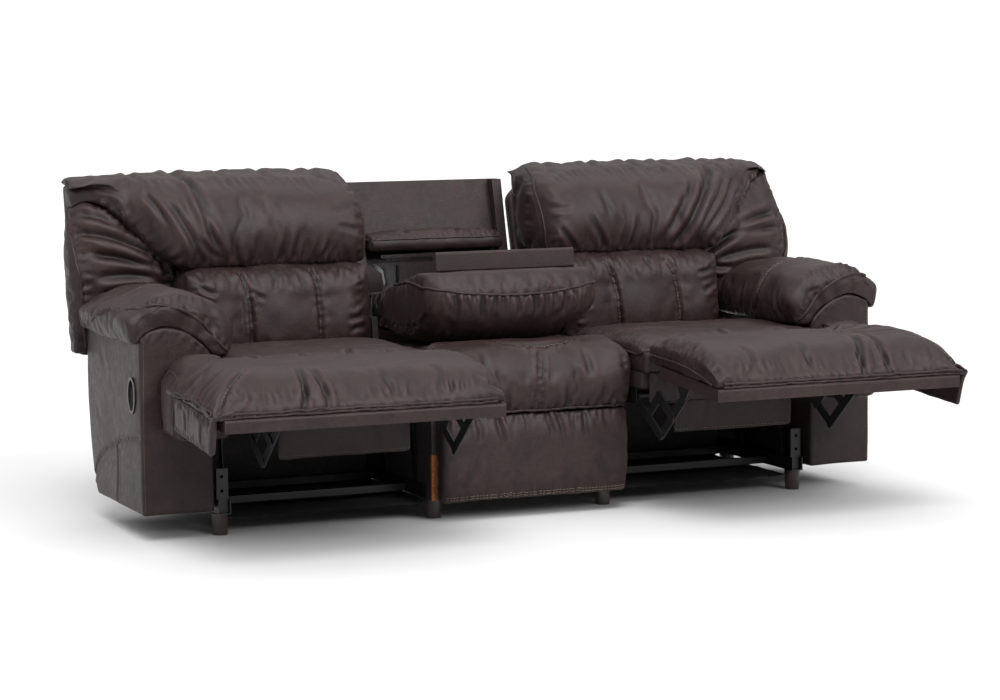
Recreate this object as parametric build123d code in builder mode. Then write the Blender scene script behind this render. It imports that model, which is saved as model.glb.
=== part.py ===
"""Three-seat reclining sofa: both end footrests out, the centre back folded down as a console.

Millimetres. +X is the viewer's right, +Y runs to the back, +Z is up. Depths are written from the
front face of the arms, and the planes below then centre the sofa over the floor by its own depth.
Each right-hand piece is modelled once and mirrored for the left-hand seat.
"""

import math
import os

from build123d import *

os.makedirs("parts", exist_ok=True)

# ---------------------------------------------------------------- driving sizes
centre_width = 600
seat_width = 620
arm_width = 200
unit_gap = 5
foot_height = 60
foot_radius = 24
arm_depth = 545
arm_floor_gap = 72
arm_body_height = 556
arm_crown = 27
arm_seat_side_drop = 48
arm_pad_height = 676
arm_pad_overhang = 74
seat_frame_height = 400
cushion_edge = 70
cushion_crown = 18
seat_back_edge = 384
nose_depth = 145
wing_reach = 156
back_height = 935
back_thickness = 41
back_rake = 14.3
shell_height = 922
shell_rake = 13.3
shell_recess = 35
board_thickness = 12
plywood = 18
sheet_steel = 3
link_steel = 4
link_width = 28
pin_radius = 5
pin_clearance = 0.05
open_pivot_clearance = 0.6
plate_gap = 0.3
link_gap = 0.5
soft_gap = 0.4
front_reach = 573.7
rear_reach = 790.2

# ---------------------------------------------------------------- where the units stand
middle = (rear_reach - front_reach) / 2
centre_half = centre_width / 2
seat_inner = centre_half + unit_gap
seat_outer = seat_inner + seat_width
arm_inner = seat_outer + unit_gap
arm_outer = arm_inner + arm_width
wing_outer = arm_inner + wing_reach


def side_plane(x):
    """Upright plane facing +X, whose own axes are depth and height."""
    return Plane(origin=(x, -middle, 0), x_dir=(0, 1, 0), z_dir=(1, 0, 0))


def front_plane(y):
    """Upright plane facing the viewer, whose own axes are width and height."""
    return Plane(origin=(0, y - middle, 0), x_dir=(1, 0, 0), z_dir=(0, -1, 0))


def level_plane(z):
    """Level plane, whose own axes are width and depth."""
    return Plane(origin=(0, -middle, z), x_dir=(1, 0, 0), z_dir=(0, 0, 1))


def write(piece, node):
    """Name a finished piece and write it."""
    piece.part.label = node
    export_step(piece.part, f"parts/{node}.step")


def write_pair(piece, node):
    """Write a right-hand piece and its left-hand mirror image."""
    write(piece, f"right_{node}")
    with BuildPart() as twin:
        mirror(piece.part, about=Plane.YZ)
    write(twin, f"left_{node}")


def along(point, degrees, length):
    """The depth-height point that lies a length away in a direction."""
    angle = math.radians(degrees)
    return (point[0] + length * math.cos(angle), point[1] + length * math.sin(angle))


def raked(point, rake, height):
    """Depth, at a height, of a plane that leans back from a point."""
    return point[0] + (height - point[1]) * math.tan(math.radians(rake))


def padded_face(x, corners, swell):
    """Side view of a cushion at one width: its corners, joined by edges that swell outwards."""
    with BuildSketch(side_plane(x)) as profile:
        with BuildLine():
            for start, end, rise in zip(corners, corners[1:] + corners[:1], swell):
                if rise == 0:
                    Line(start, end)
                    continue
                run = math.dist(start, end)
                out = ((end[1] - start[1]) / run, (start[0] - end[0]) / run)
                crest = (
                    (start[0] + end[0]) / 2 + out[0] * rise,
                    (start[1] + end[1]) / 2 + out[1] * rise,
                )
                ThreePointArc(start, crest, end)
        make_face()
    return profile.sketch


def drawn_in(corners, amount, free):
    """Corners with the free ones pulled towards the middle, as seams draw a cushion's sides in."""
    mid_depth = sum(corner[0] for corner in corners) / len(corners)
    mid_height = sum(corner[1] for corner in corners) / len(corners)
    pulled = list(corners)
    for number in free:
        depth, height = corners[number]
        pulled[number] = (
            depth + math.copysign(amount, mid_depth - depth),
            height + math.copysign(amount, mid_height - height),
        )
    return pulled


def bar(x, thickness, start, end, width, holes, hole_radius=pin_radius + pin_clearance):
    """Flat steel link with round ends from one pivot to another, bored at its pivots."""
    heading = math.degrees(math.atan2(end[1] - start[1], end[0] - start[0]))
    with BuildSketch(side_plane(x)) as profile:
        with Locations(((start[0] + end[0]) / 2, (start[1] + end[1]) / 2)):
            SlotCenterToCenter(math.dist(start, end), width, rotation=heading)
        if holes:
            with Locations(*holes):
                Circle(hole_radius, mode=Mode.SUBTRACT)
    extrude(profile.sketch, amount=thickness)


def rod(x_from, x_to, centre, radius):
    """Round pin along X between two widths."""
    with BuildSketch(side_plane(min(x_from, x_to))) as profile:
        with Locations(centre):
            Circle(radius)
    extrude(profile.sketch, amount=abs(x_to - x_from))


def block(x_range, y_range, z_range, mode=Mode.ADD):
    """Square-edged rail between two widths, two depths and two heights."""
    with BuildSketch(level_plane(z_range[0])) as profile:
        with Locations(((x_range[0] + x_range[1]) / 2, (y_range[0] + y_range[1]) / 2)):
            Rectangle(x_range[1] - x_range[0], y_range[1] - y_range[0])
    extrude(profile.sketch, amount=z_range[1] - z_range[0], mode=mode)


# ---------------------------------------------------------------- layers of the seat mechanism
# Each side of a seat is a stack of flat steel, from the fixed plate to the links over the seat.
outer_stack = seat_outer - 45
post_width = 30


def layer(depth_in):
    """Near faces of one layer of the stack, on the console side and on the arm side."""
    return (centre_half + depth_in, outer_stack - depth_in)


def both_sides(depth_in, thickness):
    """Lower x of a layer's two plates."""
    near, far = layer(depth_in)
    return (near, far - thickness)


base_depth = 0
swing_depth = base_depth + sheet_steel + plate_gap
carriage_depth = swing_depth + sheet_steel + plate_gap
first_depth = carriage_depth + sheet_steel + link_gap
second_depth = first_depth + link_steel + link_gap

# ---------------------------------------------------------------- pivots of the mechanism
swing_pivots = ((100, 150), (350, 150))
swing_length = 110
swing_rest = 98
drive_pivot = (-60, 330)
arm_length = 190
drive_rest = 210.5
reach_rest = 139.7
knee = along(drive_pivot, drive_rest, arm_length)
footrest_pivot = along(knee, reach_rest, arm_length)
drive_half = along(drive_pivot, drive_rest, arm_length / 2)
reach_half = along(knee, reach_rest, arm_length / 2)
open_pivot = along(drive_half, reach_rest, arm_length / 2)
recline_pivot = (470, 330)
swing_tops = [along(pivot, 180 - swing_rest, swing_length) for pivot in swing_pivots]

# ---------------------------------------------------------------- feet
foot_front = 57
foot_back = 470
foot_taper = 3
centre_foot = centre_half - plywood - 16
post_centre = outer_stack + sheet_steel + post_width / 2
foot_places = [
    (x, y)
    for x in (-post_centre, -centre_foot, centre_foot, post_centre)
    for y in (foot_front, foot_back)
]

with BuildPart(level_plane(0)) as feet:
    with Locations(*foot_places):
        Cone(
            foot_radius - foot_taper,
            foot_radius,
            foot_height,
            align=(Align.CENTER, Align.CENTER, Align.MIN),
        )
write(feet, "feet")

# ---------------------------------------------------------------- fixed steel base of a seat
rail_front = 20
rail_back = 505
rail_top = 100
lug_half = 18
lug_top = swing_pivots[0][1] + lug_half
post_top = 185
post_front = 34
post_back = 46
post_hole = 5
crossbar = 20
crossbar_fronts = (180, 430)
base_back_thickness = 7
base_back_top = 285
arm_lug_fronts = (80, 420)
rail_foot = foot_height

with BuildPart() as base_frame:
    for x in both_sides(base_depth, sheet_steel):
        with BuildSketch(side_plane(x)):
            with BuildLine():
                Polyline(
                    (rail_front, rail_foot),
                    (rail_back, rail_foot),
                    (rail_back, rail_top),
                    (rail_front, rail_top),
                    close=True,
                )
            make_face()
            for pivot_y, pivot_z in swing_pivots:
                with Locations((pivot_y, (rail_foot + lug_top) / 2)):
                    Rectangle(2 * lug_half, lug_top - rail_foot)
            with Locations(*swing_pivots):
                Circle(pin_radius + pin_clearance, mode=Mode.SUBTRACT)
        extrude(amount=sheet_steel)
    channel = (outer_stack, outer_stack + sheet_steel + post_width)
    block(channel, (rail_front, rail_back), (rail_foot, rail_foot + sheet_steel))
    block((channel[1] - sheet_steel, channel[1]), (rail_front, rail_back), (rail_foot, rail_top))
    block(channel, (post_front, post_back), (rail_foot, post_top))
    with BuildSketch(front_plane(post_front)):
        with Locations((post_centre, post_top - 22), (post_centre, post_top - 62)):
            Circle(post_hole)
    extrude(amount=-(post_back - post_front), mode=Mode.SUBTRACT)
    for front in crossbar_fronts:
        block(
            (centre_half, outer_stack),
            (front, front + crossbar),
            (rail_foot + sheet_steel, rail_foot + sheet_steel + crossbar),
        )
    for front in arm_lug_fronts:
        block((channel[1], arm_inner), (front, front + 30), (arm_floor_gap + 4, rail_top))
    block(
        (centre_half, outer_stack),
        (rail_back - base_back_thickness, rail_back),
        (rail_foot + sheet_steel, base_back_top),
    )
write_pair(base_frame, "base_frame")

# ---------------------------------------------------------------- swing links under a seat
base_near, base_far = layer(base_depth)
swing_near, swing_far = layer(swing_depth)
carriage_near, carriage_far = layer(carriage_depth)
first_near, first_far = layer(first_depth)
second_near, second_far = layer(second_depth)
pin_inset = 0.5

for place, low, high in zip(("front", "rear"), swing_pivots, swing_tops):
    with BuildPart() as swing_link:
        for x in both_sides(swing_depth, sheet_steel):
            bar(x, sheet_steel, low, high, link_width, [])
        rod(base_near + pin_inset, swing_near, low, pin_radius)
        rod(base_far - pin_inset, swing_far, low, pin_radius)
        rod(swing_near, carriage_near + sheet_steel, high, pin_radius)
        rod(swing_far, carriage_far - sheet_steel, high, pin_radius)
    write_pair(swing_link, f"{place}_swing_links")

# ---------------------------------------------------------------- carriage that carries a seat
carriage_front = -84
carriage_back = 496
carriage_low = 306
carriage_top = seat_frame_height - 45
carriage_lug = 15
tube_height = 24
tube_fronts = (52, 404)

with BuildPart() as seat_carriage:
    for x in both_sides(carriage_depth, sheet_steel):
        with BuildSketch(side_plane(x)):
            with Locations(((carriage_front + carriage_back) / 2, (carriage_low + carriage_top) / 2)):
                Rectangle(carriage_back - carriage_front, carriage_top - carriage_low)
            for top_y, top_z in swing_tops:
                with Locations((top_y, (top_z - carriage_lug + carriage_top) / 2)):
                    Rectangle(2 * carriage_lug, carriage_top - top_z + carriage_lug)
            with Locations(*swing_tops, drive_pivot, recline_pivot):
                Circle(pin_radius + pin_clearance, mode=Mode.SUBTRACT)
        extrude(amount=sheet_steel)
    for front in tube_fronts:
        block(
            (carriage_near, carriage_far),
            (front, front + tube_height),
            (carriage_top - tube_height - 16, carriage_top - 16),
        )
write_pair(seat_carriage, "seat_carriage")

# ---------------------------------------------------------------- footrest linkage, one node a pair of links
drive_tube = 12

with BuildPart() as drive_links:
    for x in both_sides(first_depth, link_steel):
        bar(x, link_steel, drive_pivot, knee, link_width, [drive_half, knee])
    rod(carriage_near + pin_inset, first_near, drive_pivot, pin_radius)
    rod(carriage_far - pin_inset, first_far, drive_pivot, pin_radius)
    rod(first_near + link_steel, first_far - link_steel, drive_pivot, drive_tube)
write_pair(drive_links, "drive_links")

with BuildPart() as reach_links:
    for x in both_sides(second_depth, link_steel):
        bar(x, link_steel, knee, footrest_pivot, link_width, [reach_half])
    for pivot in (knee, footrest_pivot):
        rod(first_near + pin_inset, second_near, pivot, pin_radius)
        rod(first_far - pin_inset, second_far, pivot, pin_radius)
write_pair(reach_links, "reach_links")

with BuildPart() as lower_scissor_links:
    for x in both_sides(second_depth, link_steel):
        bar(x, link_steel, drive_half, open_pivot, link_width, [])
    rod(first_near + pin_inset, second_near, drive_half, pin_radius)
    rod(first_far - pin_inset, second_far, drive_half, pin_radius)
    rod(first_near + pin_inset, second_near, open_pivot, pin_radius)
    rod(first_far - pin_inset, second_far, open_pivot, pin_radius)
write_pair(lower_scissor_links, "lower_scissor_links")

with BuildPart() as upper_scissor_links:
    for x in both_sides(first_depth, link_steel):
        bar(x, link_steel, reach_half, open_pivot, link_width, [open_pivot], pin_radius + open_pivot_clearance)
    rod(first_near + link_steel, second_near + link_steel - pin_inset, reach_half, pin_radius)
    rod(first_far - link_steel, second_far - link_steel + pin_inset, reach_half, pin_radius)
write_pair(upper_scissor_links, "upper_scissor_links")

# ---------------------------------------------------------------- footrest
footrest_slope = 5
board_front = (-570, 364)
board_length = 350
board_depth = 35
board_back = along(board_front, footrest_slope, board_length)
square_up = footrest_slope + 90
board_inset = 7
pad_overlap = 64
pad_edge = 60
pad_crown = 30
flap_drop = 98
flap_thickness = 20
flap_lead = 32
footrest_outer = wing_outer + flap_thickness + 2

with BuildPart() as footrest_board:
    with BuildSketch(side_plane(seat_inner + board_inset)):
        with BuildLine():
            Polyline(
                board_front,
                board_back,
                along(board_back, square_up, board_depth),
                along(board_front, square_up, board_depth),
                close=True,
            )
        make_face()
    extrude(amount=wing_outer - seat_inner - 2 * board_inset)
    fillet(footrest_board.edges().filter_by(Axis.X).group_by(Axis.Y)[0], radius=8)
write_pair(footrest_board, "footrest_board")

pad_low_front = along(board_front, square_up, board_depth + soft_gap)
pad_low_back = along(pad_low_front, footrest_slope, board_length + pad_overlap)
pad_corners = [
    along(pad_low_front, footrest_slope, 2),
    pad_low_back,
    along(pad_low_back, square_up, pad_edge),
    along(along(pad_low_front, footrest_slope, 22), square_up, pad_edge),
]
pad_ends = [
    (seat_inner + 4, 12, (0, 2, 8, 4)),
    (seat_inner + 40, 0, (0, 3, pad_crown, 8.5)),
    (footrest_outer - 40, 0, (0, 3, pad_crown, 8.5)),
    (footrest_outer, 12, (0, 2, 8, 4)),
]

with BuildPart() as footrest_pad:
    loft([
        padded_face(x, drawn_in(pad_corners, amount, (2, 3)), swell)
        for x, amount, swell in pad_ends
    ], ruled=True)
write_pair(footrest_pad, "footrest_pad")

flap_top = along(board_front, square_up, board_depth)
with BuildPart() as footrest_flap:
    with BuildSketch(side_plane(wing_outer + 2)):
        with BuildLine():
            Polyline(
                along(flap_top, footrest_slope, 14),
                along(flap_top, footrest_slope, board_length - 10),
                along(along(flap_top, footrest_slope, board_length - 14), square_up, -flap_drop),
                along(along(flap_top, footrest_slope, flap_lead), square_up, -flap_drop),
                close=True,
            )
        make_face()
    extrude(amount=flap_thickness)
    fillet(footrest_flap.edges().filter_by(Axis.X), radius=12)
    fillet(footrest_flap.faces().filter_by(Axis.X).edges(), radius=4)
write_pair(footrest_flap, "footrest_flap")

bracket_half = 34
bracket_lap = 16
under_pivot = (footrest_pivot[0] - board_front[0]) * math.cos(math.radians(footrest_slope))
under_pivot += (footrest_pivot[1] - board_front[1]) * math.sin(math.radians(footrest_slope))
bracket_front = along(board_front, footrest_slope, under_pivot - bracket_half)
bracket_back = along(board_front, footrest_slope, under_pivot + bracket_half)

with BuildPart() as footrest_brackets:
    near_plate, far_plate = both_sides(first_depth, link_steel)
    for x, lap_start in ((near_plate, near_plate), (far_plate, far_plate - bracket_lap)):
        with BuildSketch(side_plane(x)):
            with BuildLine():
                Polyline(
                    bracket_front,
                    bracket_back,
                    along(footrest_pivot, footrest_slope, bracket_lap),
                    along(footrest_pivot, footrest_slope - 90, bracket_lap),
                    along(footrest_pivot, footrest_slope, -bracket_lap),
                    close=True,
                )
            make_face()
            with Locations(footrest_pivot):
                Circle(pin_radius + pin_clearance, mode=Mode.SUBTRACT)
        extrude(amount=link_steel)
        with BuildSketch(side_plane(lap_start)):
            with BuildLine():
                Polyline(
                    bracket_front,
                    bracket_back,
                    along(bracket_back, square_up, -sheet_steel),
                    along(bracket_front, square_up, -sheet_steel),
                    close=True,
                )
            make_face()
        extrude(amount=link_steel + bracket_lap)
write_pair(footrest_brackets, "footrest_brackets")

# ---------------------------------------------------------------- seat box, cushion and apron
frame_front = -118
frame_back = 380
frame_rail = 22
frame_deck = 8
frame_margin = 1
cushion_base = seat_frame_height + soft_gap
nose_wing_low = 292
nose_wing_back = -6
nose_drop_low = 312
drop_inset = link_steel + bracket_lap + 3
apron_half = 192
apron_thickness = 14
apron_low = 222
seat_middle = (seat_inner + seat_outer - 36) / 2

with BuildPart() as seat_frame:
    block(
        (seat_inner + frame_margin, seat_outer - frame_margin),
        (frame_front, frame_back),
        (carriage_top, seat_frame_height),
    )
    block(
        (seat_inner + frame_margin + frame_rail, outer_stack - frame_rail),
        (frame_front + frame_rail, frame_back - frame_rail),
        (carriage_top, seat_frame_height - frame_deck),
        Mode.SUBTRACT,
    )
write_pair(seat_frame, "seat_frame")

seat_corners = [
    (-nose_depth, cushion_base),
    (seat_back_edge, cushion_base),
    (seat_back_edge, cushion_base + cushion_edge),
    (-nose_depth, cushion_base + cushion_edge),
]
wing_top = cushion_base + cushion_edge + 12
wing_corners = [
    (-nose_depth + 2, nose_wing_low),
    (nose_wing_back, nose_wing_low),
    (nose_wing_back, wing_top),
    (-nose_depth + 2, wing_top),
]
nose_drop_corners = [
    (-nose_depth - 2, nose_drop_low),
    (frame_front - apron_thickness - soft_gap, nose_drop_low),
    (frame_front - apron_thickness - soft_gap, cushion_base + 2),
    (-nose_depth, cushion_base + 2),
]
seat_sections = (
    (seat_inner + frame_margin, 10, (0, 1, 6, 2)),
    (seat_inner + 40, 0, (0, 2, cushion_crown - 2, 3)),
    (seat_middle, 0, (0, 2, cushion_crown, 3)),
    (seat_outer - 40, 0, (0, 2, cushion_crown - 4, 3)),
    (seat_outer + 3, 12, (0, 1, 5, 2)),
)
wing_sections = (
    (seat_outer - frame_margin + soft_gap, 0, 12),
    (wing_outer - 36, 0, 26),
    (wing_outer, 16, 12),
)
with BuildPart() as seat_cushion:
    loft([
        padded_face(x, drawn_in(seat_corners, amount, (2, 3)), swell)
        for x, amount, swell in seat_sections
    ], ruled=True)
    loft([
        padded_face(x, drawn_in(wing_corners, amount, (0, 2, 3)), (2, 0, crown, 2))
        for x, amount, crown in wing_sections
    ], ruled=True)
    loft([
        padded_face(x, nose_drop_corners, (0, 0, 0, 0))
        for x in (first_near + drop_inset, first_far - drop_inset)
    ], ruled=True)
write_pair(seat_cushion, "seat_cushion")

with BuildPart() as seat_apron:
    block(
        (seat_middle - apron_half, seat_middle + apron_half),
        (frame_front - apron_thickness, frame_front),
        (apron_low, seat_frame_height),
    )
    fillet(seat_apron.edges().filter_by(Axis.X).group_by(Axis.Z)[0], radius=6)
write_pair(seat_apron, "seat_apron")

# ---------------------------------------------------------------- reclining back
back_foot = 335
back_shoulder = 458
back_gap = 12
bolster_depth = 43
back_anchor = (arm_depth + back_gap + bolster_depth, 460)
lumbar_low = 440
lumbar_high = 700
lumbar_front = 392
lumbar_lean = 60
lumbar_outer = arm_inner - 100
lumbar_inner = seat_inner + 30
lumbar_crown = 15
channel_depth = 6
head_inner = centre_half - 21
head_outer = arm_outer + 16
top_radius_rise = 34
hinge_arm_half = 16


def back_face(height):
    """Depth of the back panel's front at a height, where cushions rest on it."""
    return raked(back_anchor, back_rake, height)


def back_slab(x_range, low, high):
    """Leaning board of the back between two widths and two heights."""
    with BuildSketch(side_plane(x_range[0])) as profile:
        with BuildLine():
            Polyline(
                (back_face(low), low),
                (back_face(low) + back_thickness, low),
                (back_face(high) + back_thickness, high),
                (back_face(high), high),
                close=True,
            )
        make_face()
    extrude(profile.sketch, amount=x_range[1] - x_range[0])


with BuildPart() as back_panel:
    back_slab((first_near + link_steel, first_far - link_steel), back_foot, back_shoulder + 1)
    back_slab((seat_inner, arm_outer - 2), back_shoulder, back_height)
write_pair(back_panel, "back_panel")

with BuildPart() as back_hinge_arms:
    for x in both_sides(first_depth, link_steel):
        with BuildSketch(side_plane(x)):
            with BuildLine():
                Polyline(
                    along(recline_pivot, 205, hinge_arm_half),
                    along(recline_pivot, 285, hinge_arm_half),
                    (back_face(back_foot) + back_thickness - 6, back_foot + 4),
                    (back_face(back_foot + 100) + back_thickness - 6, back_foot + 100),
                    (back_face(back_foot + 100) + 6, back_foot + 100),
                    (back_face(back_foot + 40) - 14, back_foot + 40),
                    along(recline_pivot, 100, hinge_arm_half),
                    close=True,
                )
            make_face()
            with Locations(recline_pivot):
                Circle(hinge_arm_half)
        extrude(amount=link_steel)
    rod(carriage_near + pin_inset, first_near, recline_pivot, pin_radius)
    rod(carriage_far - pin_inset, first_far, recline_pivot, pin_radius)
write_pair(back_hinge_arms, "back_hinge_arms")

lumbar_corners = [
    (lumbar_front, lumbar_low),
    (back_face(lumbar_low) - soft_gap, lumbar_low),
    (back_face(lumbar_high) - soft_gap, lumbar_high),
    (lumbar_front + lumbar_lean, lumbar_high),
]
lumbar_span = lumbar_outer - lumbar_inner
lumbar_sections = (
    (0, 12, 4),
    (0.09, 0, lumbar_crown - 3),
    (0.28, 0, lumbar_crown - channel_depth),
    (0.5, 0, lumbar_crown),
    (0.72, 0, lumbar_crown - channel_depth),
    (0.91, 0, lumbar_crown - 3),
    (1, 12, 4),
)
with BuildPart() as lumbar_cushion:
    loft([
        padded_face(
            lumbar_inner + share * lumbar_span,
            drawn_in(lumbar_corners, amount, (0, 3)),
            (0, 0, 0, rise),
        )
        for share, amount, rise in lumbar_sections
    ], ruled=True)
write_pair(lumbar_cushion, "lumbar_cushion")

pillow_low = lumbar_high + 3
pillow_top = back_height + soft_gap
pillow_peak = back_height + top_radius_rise - 7
pillow_corners = [
    (back_face(pillow_low) - 212, pillow_low),
    (back_face(pillow_low) - soft_gap, pillow_low),
    (back_face(pillow_top) - soft_gap, pillow_top),
    (back_face(pillow_top) + back_thickness, pillow_top),
    (back_face(pillow_top) + 12, pillow_peak),
    (back_face(pillow_peak) - 128, pillow_peak),
    (back_face(800) - 243, 800),
]
thin_low = back_height - 12
thin_corners = [
    (back_face(thin_low) - 60, thin_low),
    (back_face(thin_low) - soft_gap, thin_low),
    (back_face(pillow_top) - soft_gap, pillow_top),
    (back_face(pillow_top) + back_thickness, pillow_top),
    (back_face(pillow_top) + 12, pillow_peak - 12),
    (back_face(pillow_peak) - 46, pillow_peak - 12),
    (back_face(thin_low) - 64, thin_low + 12),
]
pillow_swell = (0, 0, 0, 7, 8, 26, 12)
thin_swell = (0, 0, 0, 3, 3, 2, 1)
with BuildPart() as head_pillow:
    head_sections = [
        padded_face(head_inner, drawn_in(pillow_corners, 22, (0, 5, 6)), pillow_swell),
        padded_face(head_inner + 50, pillow_corners, pillow_swell),
        padded_face(lumbar_outer, pillow_corners, pillow_swell),
        padded_face(head_outer, thin_corners, thin_swell),
    ]
    loft(head_sections, ruled=True)
write_pair(head_pillow, "head_pillow")

bolster_low = back_shoulder + 4
bolster_inner = lumbar_outer + 4
bolster_outer = arm_outer + 8
seam_rise = (thin_low - pillow_low) / (head_outer - lumbar_outer)


def bolster_corners(x, brow):
    """Wing of the back beside the cushions: its top follows the slanting seam of the pillow."""
    top = pillow_low + (x - lumbar_outer) * seam_rise - 1
    return [
        (arm_depth + back_gap, bolster_low),
        (back_face(bolster_low) - soft_gap, bolster_low),
        (back_face(top) - soft_gap, top),
        (back_face(top) - brow, top),
        (arm_depth + back_gap, min(arm_pad_height + 12, top - 14)),
    ]


with BuildPart() as wing_bolster:
    bolster_sections = [
        padded_face(bolster_inner, bolster_corners(bolster_inner, 142), (0, 0, 0, 2, 0)),
        padded_face(bolster_outer, bolster_corners(bolster_outer, 84), (0, 0, 0, 10, 0)),
    ]
    loft(bolster_sections, ruled=True)
write_pair(wing_bolster, "wing_bolster")

# ---------------------------------------------------------------- arm, its pad and the release handle
arm_bulge = 6
arm_rear_foot = 461
arm_rear_peak = 400
cup_centre = (70, 396)
cup_radii = (30, 45)
cup_wall = 2.5
cup_depth = 30
cup_rim = 5
arm_face = arm_outer + arm_bulge
arm_crest = arm_body_height + arm_crown
arm_crest_place = arm_inner + arm_width * 0.65
arm_seat_side = arm_body_height - arm_seat_side_drop

with BuildPart() as arm_body:
    with BuildSketch(front_plane(0)):
        with BuildLine():
            Polyline(
                (arm_outer, arm_floor_gap),
                (arm_inner, arm_floor_gap),
                (arm_inner, arm_seat_side),
            )
            ThreePointArc(
                (arm_inner, arm_seat_side),
                (arm_crest_place, arm_crest),
                (arm_outer, arm_body_height),
            )
            ThreePointArc(
                (arm_outer, arm_body_height),
                (arm_face, (arm_floor_gap + arm_body_height) / 2),
                (arm_outer, arm_floor_gap),
            )
        make_face()
    extrude(amount=-(arm_depth + 20))
    with BuildSketch(side_plane(arm_inner - 1)):
        with BuildLine():
            Polyline(
                (arm_depth - 18, arm_crest + 1),
                (0, arm_crest + 1),
                (0, arm_floor_gap),
                (arm_rear_foot, arm_floor_gap),
            )
            ThreePointArc(
                (arm_rear_foot, arm_floor_gap),
                (arm_depth, arm_rear_peak),
                (arm_depth - 18, arm_crest + 1),
            )
        make_face()
    extrude(amount=arm_width + 2 * arm_bulge, mode=Mode.INTERSECT)
    with BuildSketch(side_plane(arm_face + 1)):
        with Locations(cup_centre):
            Ellipse(*cup_radii)
    extrude(amount=-(cup_depth + 1), mode=Mode.SUBTRACT)
write_pair(arm_body, "arm_body")

pad_rise = arm_pad_height - arm_body_height
inner_lip_low = arm_body_height - 59
outer_lip_low = arm_body_height - 16


def arm_pad_face(y, fullness, spread):
    """Front view of the arm pad: a saddle over the arm, fuller on the seat side."""
    crest = arm_body_height + pad_rise * fullness
    seat_side = arm_inner - spread
    far_side = arm_outer + spread * 0.5
    with BuildSketch(front_plane(y)) as profile:
        with BuildLine():
            Polyline(
                (far_side - 12, outer_lip_low),
                (arm_outer + 1, outer_lip_low),
                (arm_outer + 1, arm_body_height + soft_gap),
            )
            ThreePointArc(
                (arm_outer + 1, arm_body_height + soft_gap),
                (arm_crest_place, arm_crest + soft_gap),
                (arm_inner - soft_gap, arm_seat_side + soft_gap),
            )
            Polyline(
                (arm_inner - soft_gap, arm_seat_side + soft_gap),
                (arm_inner - soft_gap, inner_lip_low),
                (seat_side + 12, inner_lip_low + 4),
            )
            ThreePointArc(
                (seat_side + 12, inner_lip_low + 4),
                (seat_side, (inner_lip_low + crest) / 2 - pad_rise * 0.12),
                (arm_inner - spread * 0.4, crest - pad_rise * 0.35),
            )
            ThreePointArc(
                (arm_inner - spread * 0.4, crest - pad_rise * 0.35),
                ((arm_inner + arm_outer) / 2 + 10, crest),
                (arm_outer - 6, crest - pad_rise * 0.25),
            )
            ThreePointArc(
                (arm_outer - 6, crest - pad_rise * 0.25),
                (far_side, (outer_lip_low + crest) / 2 - pad_rise * 0.03),
                (far_side - 12, outer_lip_low),
            )
        make_face()
    return profile.sketch


with BuildPart() as arm_pad:
    loft([
        arm_pad_face(2, 0.6, arm_pad_overhang - 34),
        arm_pad_face(48, 0.97, arm_pad_overhang - 2),
        arm_pad_face(arm_depth * 0.5, 0.97, arm_pad_overhang - 2),
        arm_pad_face(arm_depth + 4, 0.72, arm_pad_overhang - 20),
    ], ruled=True)
write_pair(arm_pad, "arm_pad")

cup_fit = 0.4
cup_inner = (cup_radii[0] - cup_fit - cup_wall, cup_radii[1] - cup_fit - cup_wall)
with BuildPart() as handle_cup:
    with BuildSketch(side_plane(arm_face - cup_depth)):
        with Locations(cup_centre):
            Ellipse(cup_radii[0] - cup_fit, cup_radii[1] - cup_fit)
    extrude(amount=cup_depth + 2)
    with BuildSketch(side_plane(arm_face + 0.2)):
        with Locations(cup_centre):
            Ellipse(cup_radii[0] + cup_rim, cup_radii[1] + cup_rim)
    extrude(amount=2)
    with BuildSketch(side_plane(arm_face - cup_depth + cup_wall)):
        with Locations(cup_centre):
            Ellipse(*cup_inner)
    extrude(amount=cup_depth + 2, mode=Mode.SUBTRACT)
write_pair(handle_cup, "handle_cup")

paddle_pin = 2.5
paddle_setback = 8
paddle_thickness = 4
paddle_inset = 6
paddle_reach = 8
paddle_hinge = (arm_face - paddle_setback, cup_centre[0] - cup_radii[0] * 0.62)
paddle_offset = (cup_radii[0] * 0.62 + paddle_pin) / cup_inner[0]
paddle_pin_half = cup_inner[1] * math.sqrt(1 - paddle_offset**2) - 0.2
with BuildPart() as pull_handle:
    with BuildSketch(side_plane(arm_face - paddle_setback - paddle_thickness / 2)):
        with Locations(cup_centre):
            Ellipse(cup_radii[0] - paddle_inset, cup_radii[1] - paddle_inset)
        with Locations((cup_centre[0] + paddle_reach + cup_radii[0], cup_centre[1])):
            Rectangle(2 * cup_radii[0], 2 * cup_radii[1], mode=Mode.SUBTRACT)
    extrude(amount=paddle_thickness)
    with BuildSketch(level_plane(cup_centre[1] - paddle_pin_half)):
        with Locations(paddle_hinge):
            Circle(paddle_pin)
    extrude(amount=2 * paddle_pin_half)
write_pair(pull_handle, "pull_handle")

# ---------------------------------------------------------------- centre unit
shell_anchor = (734, 735)
shell_foot = 90
shell_half = centre_half - 50
flange_width = 30
flange_foot = 431
recess_half = shell_half - flange_width
front_board = -20
deck_back = 430
deck_top = 395
upright_top = 540
rear_board_top = 430
console_pivot = (467, 560)


def shell_face(height):
    """Depth of the fixed back shell's front at a height."""
    return raked(shell_anchor, shell_rake, height)


def leaning_slab(x_range, low, high, in_front, behind):
    """Board that leans with the back shell, from in front of its face to behind it."""
    with BuildSketch(side_plane(x_range[0])) as profile:
        with BuildLine():
            Polyline(
                (shell_face(low) - in_front, low),
                (shell_face(low) + behind, low),
                (shell_face(high) + behind, high),
                (shell_face(high) - in_front, high),
                close=True,
            )
        make_face()
    extrude(profile.sketch, amount=x_range[1] - x_range[0])


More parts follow.
